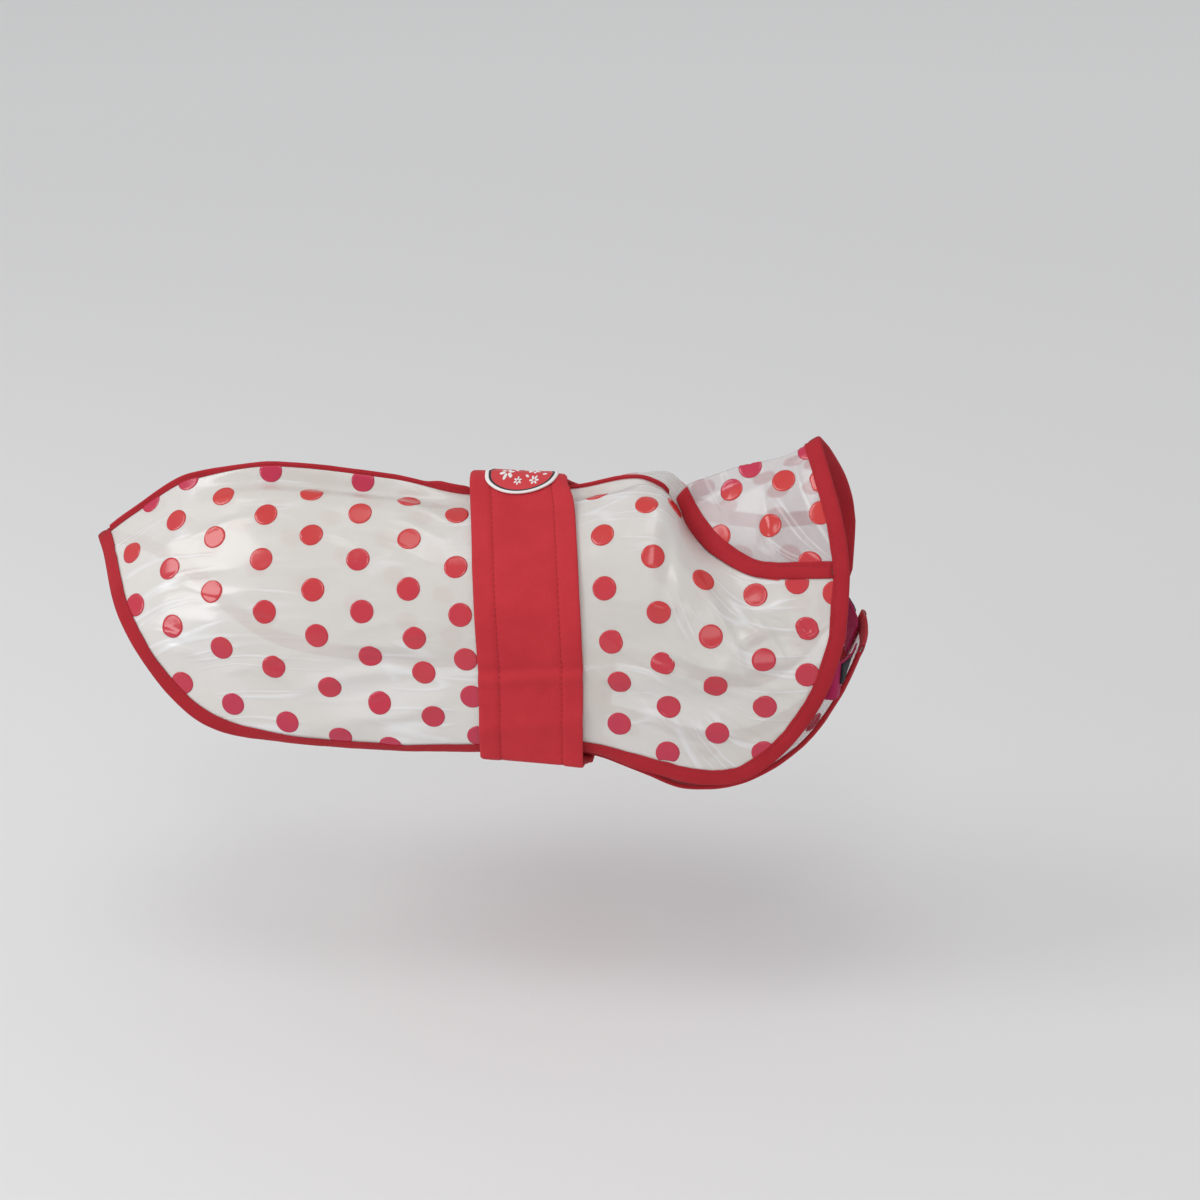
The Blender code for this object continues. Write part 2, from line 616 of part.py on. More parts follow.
def collar_columns(around):
    """Places of one row of the collar film: both tapes' widths, and three cells between."""
    foot = np.array([around, collar_foot(around)])
    rest = 1 - foot[1]
    if abs(around) < COLLAR_TAPE_END:
        seam_tape = [collar_leg(around, TAPE_WIDTH / 2), collar_leg(around, TAPE_WIDTH)]
    else:
        seam_tape = [foot + (0, rest * share) for share in END_TAPE_SHARES]
    front_tape = [np.array([around, max(collar_inset(around, False, reach), foot[1] + rest * limit)])
                  for reach, limit in FRONT_TAPE_LIMITS]
    between = [seam_tape[1] + share * (front_tape[0] - seam_tape[1]) for share in (0.25, 0.5, 0.75)]
    return [foot, *seam_tape, *between, *front_tape, np.array([around, 1.0])]


# ---------------------------------------------------------------- bib surface

def bib_surface(share, across):
    """Bib film: `share` of its length from belt to chest, `across` in mm from the middle."""
    x, z, half, sag = resample(BIB_LINE, [share])[0]
    before, after = resample(BIB_LINE, [max(share - BIB_PROBE, 0), min(share + BIB_PROBE, 1)])
    run = unit(np.array([after[0] - before[0], 0, after[1] - before[1]]))
    out = np.array([run[2], 0, -run[0]])
    return np.array([x, across, z]) + out * sag * (1 - (across / half)**2)


BIB_LINE = smooth_curve(BIB_SECTIONS, 10)
BIB_PROBE = 0.02
BIB_STEPS = (0.01, 1.0)
BIB_LIMITS = ((0.0, 1.0), (-60.0, 60.0))
BIB_LENGTH = float(np.sum(np.linalg.norm(np.diff(BIB_LINE[:, :2], axis=0), axis=1)))
BIB_ROWS = np.r_[np.linspace(0.0, 1.0 - TAPE_WIDTH / BIB_LENGTH, BIB_CELLS + 1),
                 1.0 - TAPE_WIDTH / 2 / BIB_LENGTH, 1.0]


def bib_half(share):
    return float(resample(BIB_LINE, [share])[0][2])


# ---------------------------------------------------------------- pieces

def make_material(name, colour, roughness, alpha=1.0):
    material = bpy.data.materials.new(name)
    material.use_nodes = True
    shader = material.node_tree.nodes["Principled BSDF"]
    shader.inputs["Base Color"].default_value = (*colour, 1.0)
    shader.inputs["Roughness"].default_value = roughness
    shader.inputs["Metallic"].default_value = 0.0
    shader.inputs["Alpha"].default_value = alpha
    return material


def film_material(name):
    return make_material(name, (0.86, 0.84, 0.83), 0.25, 0.5)


def tape_material(name):
    return make_material(name, (0.56, 0.035, 0.045), 0.75)


def patch_material(name):
    return make_material(name, (0.03, 0.03, 0.035), 0.9)


def make_panel(side):
    """Film panel: a grid of cells inside the edge tape, and two rows of cells under the tape."""
    surface = body_surface(side)
    band = edge_band(side)
    grid = panel_grid(band)
    rows, columns = grid.shape[:2]
    places = [*grid.reshape(-1, 2), *band[:, 1], *band[:, 0]]
    far = ([k for k in range(columns)] + [i * columns + columns - 1 for i in range(1, rows)]
           + [(rows - 1) * columns + j for j in reversed(range(columns - 1))])
    near = [rows * columns + k for k in range(len(band))]
    edge = [len(band) + k for k in near]
    faces = grid_faces(rows, columns)
    for inner, outer in ((far, near), (near, edge)):
        faces += [(inner[k], inner[k + 1], outer[k + 1], outer[k]) for k in range(len(band) - 1)]
    name = f"panel_{side}"
    return new_object(name, [surface(*place) for place in places], faces, film_material(name), FILM)


def make_edge_binding(side):
    """Tape round the hem and the front edge, and up the collar's front to its tip."""
    sign = SIDE_SIGN[side]
    surface = body_surface(side)
    body = tape_rows(surface, edge_band(side), BODY_STEPS, BODY_LIMITS)
    arounds = sign * COLLAR_ROWS[len(COLLAR_ROWS) // 2:-1][::-1]
    places = [[(around, collar_inset(around, False, reach)) for reach in (0.0, TAPE_WIDTH / 2, TAPE_WIDTH)]
              for around in arounds]
    arch = tape_rows(collar_surface, places, COLLAR_STEPS, COLLAR_LIMITS)
    if sign < 0:
        body = [row[::-1] for row in body]
    rows = body + [row[::-1] for row in arch]
    rows[0] = mitre(rows[0], rows[1], sign * MITRE_Y)
    rows[-1] = mitre(rows[-1], rows[-2], sign * MITRE_Y)
    name = f"edge_binding_{side}"
    return sheet(name, rows, tape_material(name), TAPE)


def make_spine_binding():
    """Tape folded over the back seam; it stands up as a narrow fin from tail to neck."""
    rings = []
    for x in np.linspace(TAIL_X + TAPE_WIDTH + FIN_START, NECK_X - FIN_END, FIN_STATIONS):
        top = plain_body(x, 0)[1]
        beside = plain_body(x, FIN_FILM_REACH)
        fall = (top - beside[1]) / (beside[0] - SPINE_HALF_GAP)
        film_top = beside[1] + FILM / 2 * math.hypot(1, fall) + (beside[0] - FIN_HALF) * fall
        low = max(top + FILM, film_top + 2 * GAP)
        high = top + FIN_HEIGHT
        profile = ((-FIN_HALF, low), (-FIN_HALF, high - FIN_ROUND), (-FIN_HALF / 2, high),
                   (FIN_HALF / 2, high), (FIN_HALF, high - FIN_ROUND), (FIN_HALF, low))
        rings.append([np.array([x, y, z]) for y, z in profile])
    return solid_loft("spine_binding", rings, tape_material("spine_binding"))


def make_collar():
    grid = [[collar_surface(*place) for place in collar_columns(around)] for around in COLLAR_ROWS]
    return sheet("collar", grid, film_material("collar"), FILM)


def make_collar_binding():
    """Tape folded round the collar's lower edge, from one front edge round the back to the other."""
    places = [[collar_leg(around, reach) for reach in (0.0, TAPE_WIDTH / 2, TAPE_WIDTH)]
              for around in COLLAR_ROWS[1:-1]]
    rows = tape_rows(collar_surface, places, COLLAR_STEPS, COLLAR_LIMITS)
    return sheet("collar_binding", rows, tape_material("collar_binding"), TAPE)


def belt_stand(x, s, hem):
    """How far the belt's middle stands above the film's middle at a place."""
    plain = FILM / 2 + GAP + BELT_WALL / 2 + BELT_EASE
    over_fin = (BELT_CREST_Z - plain_body(x, 0)[1] - plain) * math.exp(-(s / BELT_CREST_REACH)**2)
    over_tape = TAPE_STAND + TAPE / 2 + GAP + BELT_WALL / 2 + 2 * BELT_EASE - plain
    start, stop = BELT_OVER_TAPE
    near_hem = min(max((s - (hem - start)) / (start - stop), 0), 1)
    return plain + over_fin + over_tape * near_hem


def outward(x, s):
    """(y, z) direction square to the body's section at a place."""
    run = unit(plain_body(x, s + 2) - plain_body(x, max(s - 2, 0)))
    return np.array([-run[1], run[0]])


def belt_side(side, offset, belly_z):
    """One column of the belt's middle points, from the back down to the turn under the belly."""
    sign = SIDE_SIGN[side]
    points = [np.array([offset, 0.0, BELT_CREST_Z])]
    hem = s_at_height(BELT_LEAN, BELT_HEM_Z)
    for s in np.r_[BELT_SHOULDER, np.linspace(BELT_SIDE_START, hem, BELT_SIDE_ROWS)]:
        x = belt_centre(s) + offset
        y, z = plain_body(x, s) + belt_stand(x, s, hem) * outward(x, s)
        points.append(np.array([x, sign * y, z]))
    low_y = abs(points[-1][1])
    drop = BELLY_Z - belly_z
    for inward, down in BELT_TURN:
        points.append(np.array([BELT_LEAN + offset, sign * (low_y - inward), BELT_TURN_Z - down - drop]))
    points.append(np.array([BELT_LEAN + offset, sign * BELLY_FLAT, belly_z]))
    return points


def belt_column(offset):
    """One line round the belt: upper end under the belly, right side, back, left side, lower end."""
    under = BELLY_Z - BELT_WALL - PATCH_WALL - 2 * GAP
    right = belt_side("right", offset, BELLY_Z)
    left = belt_side("left", offset, under)
    x = BELT_LEAN + offset
    start = [np.array([x, y, BELLY_Z]) for y in np.linspace(OVERLAP_HALF, -BELLY_FLAT, BELLY_ROWS)[:-1]]
    end = [np.array([x, y, under]) for y in np.linspace(BELLY_FLAT, -OVERLAP_HALF, BELLY_ROWS)[1:]]
    return start + right[::-1] + left[1:] + end


def make_belt():
    offsets = np.linspace(-BELT_HALF_WIDTH, BELT_HALF_WIDTH, BELT_COLUMNS)
    grid = np.array([belt_column(offset) for offset in offsets])
    return sheet("belt", [list(row) for row in grid.transpose(1, 0, 2)], tape_material("belt"), BELT_WALL)


def make_closure_patch():
    """Hook-and-loop patch between the belt's two overlapping ends."""
    half_x, half_y = PATCH_HALF
    z = BELLY_Z - BELT_WALL / 2 - GAP - PATCH_WALL / 2
    bpy.ops.mesh.primitive_cube_add(size=1, location=(BELT_LEAN * MM, 0, z * MM))
    patch = bpy.context.object
    patch.scale = (2 * half_x * MM, 2 * half_y * MM, PATCH_WALL * MM)
    bpy.ops.object.transform_apply(location=False, rotation=False, scale=True)
    patch.name = patch.data.name = "closure_patch"
    patch.data.materials.append(patch_material("closure_patch"))
    for home in list(patch.users_collection):
        home.objects.unlink(patch)
    coat.objects.link(patch)
    return patch


def belt_top(x, y):
    """Middle of the belt over the back, at x and y."""
    s = abs(y)
    flat = plain_body(x, s) + belt_stand(x, s, SECTION_REACH) * outward(x, s)
    flat[0] *= min(s / BELT_SHOULDER[0], 1)
    return np.array([x, math.copysign(flat[0], y), flat[1]])


def make_badge():
    """Oval badge that lies over the top of the belt."""
    points = [belt_top(0.0, 0.0) + np.array([0, 0, BADGE_STAND])]
    for ring in range(1, BADGE_RINGS + 1):
        for angle in np.linspace(0, 2 * math.pi, BADGE_SPOKES, endpoint=False):
            x = BADGE_RADII[0] * ring / BADGE_RINGS * math.cos(angle)
            y = BADGE_RADII[1] * ring / BADGE_RINGS * math.sin(angle)
            here = belt_top(x, y)
            normal = unit(np.cross(belt_top(x + 1, y) - here, belt_top(x, y + 1) - here))
            points.append(here + BADGE_STAND * normal)
    faces = [(0, 1 + k, 1 + (k + 1) % BADGE_SPOKES) for k in range(BADGE_SPOKES)]
    for ring in range(BADGE_RINGS - 1):
        for k in range(BADGE_SPOKES):
            a = 1 + ring * BADGE_SPOKES + k
            b = 1 + ring * BADGE_SPOKES + (k + 1) % BADGE_SPOKES
            faces.append((a, a + BADGE_SPOKES, b + BADGE_SPOKES, b))
    return new_object("badge", points, faces, make_material("badge", (0.8, 0.78, 0.76), 0.6), BADGE_WALL)


def bib_columns(share):
    """Distances across the bib of one row of its film, from the middle to one side."""
    half = bib_half(share)
    inner = half - TAPE_WIDTH - BIB_TAPE_GAP
    return [inner / 2, inner, half - TAPE_WIDTH, half - TAPE_WIDTH / 2, half]


def make_bib():
    grid = []
    for share in BIB_ROWS:
        columns = bib_columns(share)
        grid.append([bib_surface(share, across) for across in [-c for c in columns[::-1]] + [0.0] + columns])
    return sheet("bib", grid, film_material("bib"), FILM)


def make_bib_binding(side):
    """Tape along one side of the bib, from the belt to the chest."""
    sign = SIDE_SIGN[side]
    places = [[(share, sign * across) for across in bib_columns(share)[:1:-1]] for share in BIB_ROWS[2:]]
    rows = tape_rows(bib_surface, places, BIB_STEPS, BIB_LIMITS)
    name = f"bib_binding_{side}"
    return sheet(name, rows, tape_material(name), TAPE)


def make_bib_top_binding():
    """Tape over the bib's top edge, between the two side tapes."""
    places = [[(share, part * bib_columns(share)[1]) for share in BIB_ROWS[:-4:-1]]
              for part in (-1.0, -0.5, 0.0, 0.5, 1.0)]
    rows = tape_rows(bib_surface, places, BIB_STEPS, BIB_LIMITS)
    return sheet("bib_top_binding", rows, tape_material("bib_top_binding"), TAPE)


def tab_line(side, z):
    """Plan of a chest tab at one height: behind the front edge, then across to the bib's corner."""
    sign = SIDE_SIGN[side]
    surface = body_surface(side)
    inset = TAPE_STAND + TAPE / 2 + 3 * GAP + TAB_WALL / 2
    points = []
    for x, deeper in TAB_STATIONS:
        place = (x, s_at_height(x, z))
        normal = sign * normal_at(surface, place, BODY_STEPS, BODY_LIMITS)
        points.append(surface(*place) - (inset + deeper) * normal)
    share = TAB_TOP_SHARE - TAB_SHARE_DROP * (TAB_TOP_Z - z) / TAB_DROP
    for across in TAB_ON_BIB:
        points.append(bib_surface(share, sign * across) + np.array([-inset, 0, TAB_RISE * inset]))
    return smooth_curve(points, 3)


def make_chest_tab(side):
    lines = [tab_line(side, z) for z in np.linspace(TAB_TOP_Z, TAB_TOP_Z - TAB_DROP, TAB_ROWS)]
    name = f"chest_tab_{side}"
    return sheet(name, lines, tape_material(name), TAB_WALL)


def make_hook_patch(side):
    """Hook patch on the outside of a chest tab, in the gap between front edge and bib."""
    sign = SIDE_SIGN[side]
    stand = TAB_WALL / 2 + GAP + PATCH_WALL / 2
    top = TAB_TOP_Z - HOOK_INSET
    rows = []
    for z in np.linspace(top, top - HOOK_HEIGHT, HOOK_ROWS):
        line = tab_line(side, z)
        row = []
        for share in np.linspace(*HOOK_SPAN, HOOK_COLUMNS):
            here, ahead = resample(line, [share, share + TAB_PROBE])
            run = unit(ahead - here)
            row.append(here + stand * unit(sign * np.array([run[1], -run[0], 0.0])))
        rows.append(row)
    name = f"hook_patch_{side}"
    return sheet(name, rows, patch_material(name), PATCH_WALL)


for old in list(bpy.data.objects):
    bpy.data.objects.remove(old, do_unlink=True)
coat = bpy.data.collections.new("dog_raincoat")
bpy.context.scene.collection.children.link(coat)

for wearer_side in ("right", "left"):
    make_panel(wearer_side)
    make_edge_binding(wearer_side)
    make_bib_binding(wearer_side)
    make_chest_tab(wearer_side)
    make_hook_patch(wearer_side)
make_spine_binding()
make_collar()
make_collar_binding()
make_belt()
make_closure_patch()
make_badge()
make_bib()
make_bib_top_binding()
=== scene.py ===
import math
import bpy
import numpy as np
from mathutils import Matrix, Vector


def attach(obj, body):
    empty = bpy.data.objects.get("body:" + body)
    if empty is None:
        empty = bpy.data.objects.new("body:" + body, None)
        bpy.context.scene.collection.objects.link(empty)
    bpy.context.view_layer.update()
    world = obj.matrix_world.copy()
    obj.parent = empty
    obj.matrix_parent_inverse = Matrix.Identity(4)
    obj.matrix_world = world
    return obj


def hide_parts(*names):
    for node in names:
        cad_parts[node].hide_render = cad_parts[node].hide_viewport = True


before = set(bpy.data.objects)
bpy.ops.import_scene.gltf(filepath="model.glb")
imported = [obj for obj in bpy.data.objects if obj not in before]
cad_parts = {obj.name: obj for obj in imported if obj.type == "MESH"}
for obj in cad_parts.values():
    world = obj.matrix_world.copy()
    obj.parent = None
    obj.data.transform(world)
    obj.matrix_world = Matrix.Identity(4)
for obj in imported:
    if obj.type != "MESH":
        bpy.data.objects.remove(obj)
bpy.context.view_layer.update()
bpy.ops.object.select_all(action="DESELECT")
mm = 0.001  # everything below is worked out in millimetres
print("frame loaded")


def unit(v):
    return v / np.maximum(np.linalg.norm(v, axis=-1, keepdims=True), 1e-9)


def ramp(value, low, high):
    t = np.clip((np.asarray(value, float) - low) / (high - low), 0, 1)
    return t * t * (3 - 2 * t)


def smoothColumns(rows, at):
    # every column of a table at new stations, without overshoot
    rows = np.array(rows, float)
    x, y = rows[:, 0], rows[:, 1:]
    step = np.diff(x)[:, None]
    slope = np.diff(y, axis=0) / step
    tangent = np.zeros_like(y)
    tangent[0], tangent[-1] = slope[0], slope[-1]
    same = slope[:-1] * slope[1:] > 0
    both = np.where(same, slope[:-1] + slope[1:], 1)
    tangent[1:-1] = np.where(same, 2 * slope[:-1] * slope[1:] / both, 0)
    at = np.clip(np.asarray(at, float), x[0], x[-1])
    cell = np.clip(np.searchsorted(x, at, side="right") - 1, 0, len(x) - 2)
    h = step[cell]
    t = ((at - x[cell]) / (x[cell + 1] - x[cell]))[:, None]
    return ((2 * t**3 - 3 * t**2 + 1) * y[cell] + (t**3 - 2 * t**2 + t) * h * tangent[cell]
            + (3 * t**2 - 2 * t**3) * y[cell + 1] + (t**3 - t**2) * h * tangent[cell + 1])


def smoothCurve(points, perSpan=12):
    # a curve through every point, with both ends carried straight on
    p = np.array(points, float)
    p = np.vstack([2 * p[0] - p[1], p, 2 * p[-1] - p[-2]])
    t = np.linspace(0, 1, perSpan, endpoint=False)[:, None]
    spans = []
    for a, b, c, d in zip(p, p[1:], p[2:], p[3:]):
        bend = (2 * a - 5 * b + 4 * c - d) * t**2 + (3 * b - a - 3 * c + d) * t**3
        spans.append(0.5 * (2 * b + (c - a) * t + bend))
    return np.vstack(spans + [p[-2][None]])


def runLength(curve):
    return np.r_[0, np.cumsum(np.linalg.norm(np.diff(curve, axis=0), axis=1))]


def curveAt(curve, length, at):
    return np.stack([np.interp(at, length, c) for c in curve.T], axis=-1)


def resample(curve, shares):
    length = runLength(curve)
    return curveAt(curve, length, np.asarray(shares) * length[-1])


def evenPlaces(surface, places, station):
    # the same line of places on a surface, about a station apart in space
    length = runLength(surface["at"](*places.T))
    return curveAt(places, length, np.linspace(0, length[-1], max(int(length[-1] / station), 2) + 1))


def bezier(p0, p1, p2, p3, count=28):
    t = np.linspace(0, 1, count)[:, None]
    return (1 - t)**3 * p0 + 3 * (1 - t)**2 * t * p1 + 3 * (1 - t) * t**2 * p2 + t**3 * p3


def ringAngles(count):
    return np.linspace(0, 2 * math.pi, count, endpoint=False)


coat = {
    # x, topY, topZ, topSlope, fullness, sideY, sideZ, hemY, hemZ, hemLean of sections along the back
    "sections": [
        (-242, 0.65, -41.0, 48, 0.39, 36, -98, 40, -140, 6),
        (-216, 0.65, -21.0, 48, 0.39, 47, -90, 50, -142, 8),
        (-182, 0.65, 0.4, 43, 0.39, 56, -84, 55, -144, 14),
        (-132, 0.65, 10.4, 37, 0.39, 61, -76, 55, -144, 26),
        (-70, 0.65, 6.2, 28, 0.39, 62, -70, 52, -144, 34),
        (-28, 0.65, -1.0, 14, 0.39, 62, -66, 53, -142, 30),
        (28, 0.65, 5.0, 10, 0.39, 63, -65, 58, -140, 14),
        (62, 0.65, 12.3, 2, 0.39, 64, -66, 63, -144, 2),
        (75, 0.65, 7.6, -16, 0.41, 64, -67, 64, -145, 0),
        (83, 0.65, -2.5, -31, 0.44, 64, -68, 64, -146, 0),
        (91, 11.0, -11.5, -14, 0.48, 64, -70, 64, -146, 0),
        (104, 24.0, -20.0, 4, 0.46, 63, -74, 63, -146, 2),
        (130, 38.0, -26.0, 50, 0.4, 60, -84, 60, -146, 4),
        (158, 41.8, -23.5, 72, 0.39, 56, -88, 57, -144, 2),
        (184, 43.8, -20.5, 80, 0.39, 52, -92, 53, -142, 0),
    ],
    # x, z of the lower edge from the tail corner round to the collar
    "lowerEdge": [
        (-220.0, -57.0), (-203.0, -80.0), (-184.0, -103.0), (-162.0, -119.0), (-130.0, -126.0),
        (-70.0, -129.0), (0.0, -125.0), (40.0, -120.0), (75.0, -127.0), (108.0, -133.0), (131.0, -127.5),
        (152.0, -107.5), (167.0, -81.0), (175.0, -52.0),
    ],
    "tailX": -237.0, "neckX": 83.0, "frontX": 175.5,
    "tailTurn": (-230.5, 16.0), "neckTurn": (175.5, 10.0),  # x, s on the way up from the lower edge
    "corners": (-150.0, 114.0),  # x where the rear edge ends and the front edge begins
    "hemFullness": 0.36,
    "crown": 12,  # s below which the cloth falls all the way
    "onlyHem": 120,  # s that only the lower edge reaches
    "reach": 210,  # s down to which sections are worked out
    "along": 264, "down": 112, "wall": 0.3,
}
sideSign = {"right": -1.0, "left": 1.0}
stations = np.arange(coat["sections"][0][0], coat["sections"][-1][0] + 0.5)


def sectionCurve(topY, topZ, topSlope, fullness, sideY, sideZ, hemY, hemZ, hemLean):
    # y and z at every millimetre down the cloth
    top, side, hem = np.array([topY, topZ]), np.array([sideY, sideZ]), np.array([hemY, hemZ])
    slope, lean = math.radians(topSlope), math.radians(hemLean)
    upper = fullness * np.linalg.norm(side - top)
    lower = coat["hemFullness"] * np.linalg.norm(hem - side)
    leave = np.array([math.cos(slope), -math.sin(slope)])
    arrive = np.array([-math.sin(lean), -math.cos(lean)])
    down = np.array([0.0, -1.0])
    curve = np.vstack([bezier(top, top + upper * leave, side - upper * down, side)[:-1],
                       bezier(side, side + lower * down, hem - lower * arrive, hem)])
    length = runLength(curve)
    at = np.arange(0, coat["reach"], 1.0)
    return curveAt(curve, length, at) + np.maximum(at - length[-1], 0)[:, None] * arrive


sections = np.array([sectionCurve(*row) for row in smoothColumns(coat["sections"], stations)])


def plainBody(x, s):
    # y away from the middle and z, at x along the back and s down the cloth
    x, s = np.broadcast_arrays(np.asarray(x, float), np.asarray(s, float))
    i = np.clip(x - stations[0], 0, len(stations) - 1.001)
    j = np.clip(s, 0, coat["reach"] - 1.001)
    i0, j0 = i.astype(int), j.astype(int)
    a, b = (i - i0)[..., None], (j - j0)[..., None]
    yz = ((1 - a) * (1 - b) * sections[i0, j0] + a * (1 - b) * sections[i0 + 1, j0]
          + (1 - a) * b * sections[i0, j0 + 1] + a * b * sections[i0 + 1, j0 + 1])
    return yz[..., 0], yz[..., 1]


def sAtHeight(x, z):
    at = min(max(x - stations[0], 0), len(stations) - 1.001)
    i, share = int(at), at % 1
    heights = ((1 - share) * sections[i] + share * sections[i + 1])[coat["crown"]:, 1]
    return float(np.interp(-z, -heights, np.arange(coat["crown"], coat["reach"])))


# outline of a panel on its pattern, in x and s
lowerEdge = [(x, sAtHeight(x, z)) for x, z in smoothCurve(coat["lowerEdge"], 16)]
tailEdge = smoothCurve([(coat["tailX"], 0.0), coat["tailTurn"], lowerEdge[0]], 16)[:-1]
neckEdge = smoothCurve([lowerEdge[-1], coat["neckTurn"], (coat["frontX"], 0.0)], 16)[1:]
outline = np.vstack([tailEdge, lowerEdge, neckEdge])
outlineLength = runLength(outline)
deep = outline[:, 1] > coat["onlyHem"]
hemPlaces = outline[deep & (np.arange(len(outline)) % 4 == 0)]
cornerShares = np.interp(coat["corners"], outline[deep, 0], outlineLength[deep]) / outlineLength[-1]

beltPath = {"half": 27.5, "lean": 14.5, "leanBy": 120, "clear": 12}  # clear: creases come back over this


def beltCentre(s):
    return beltPath["lean"] * np.sin(math.pi / 2 * np.clip(np.asarray(s, float) / beltPath["leanBy"], 0, 1))


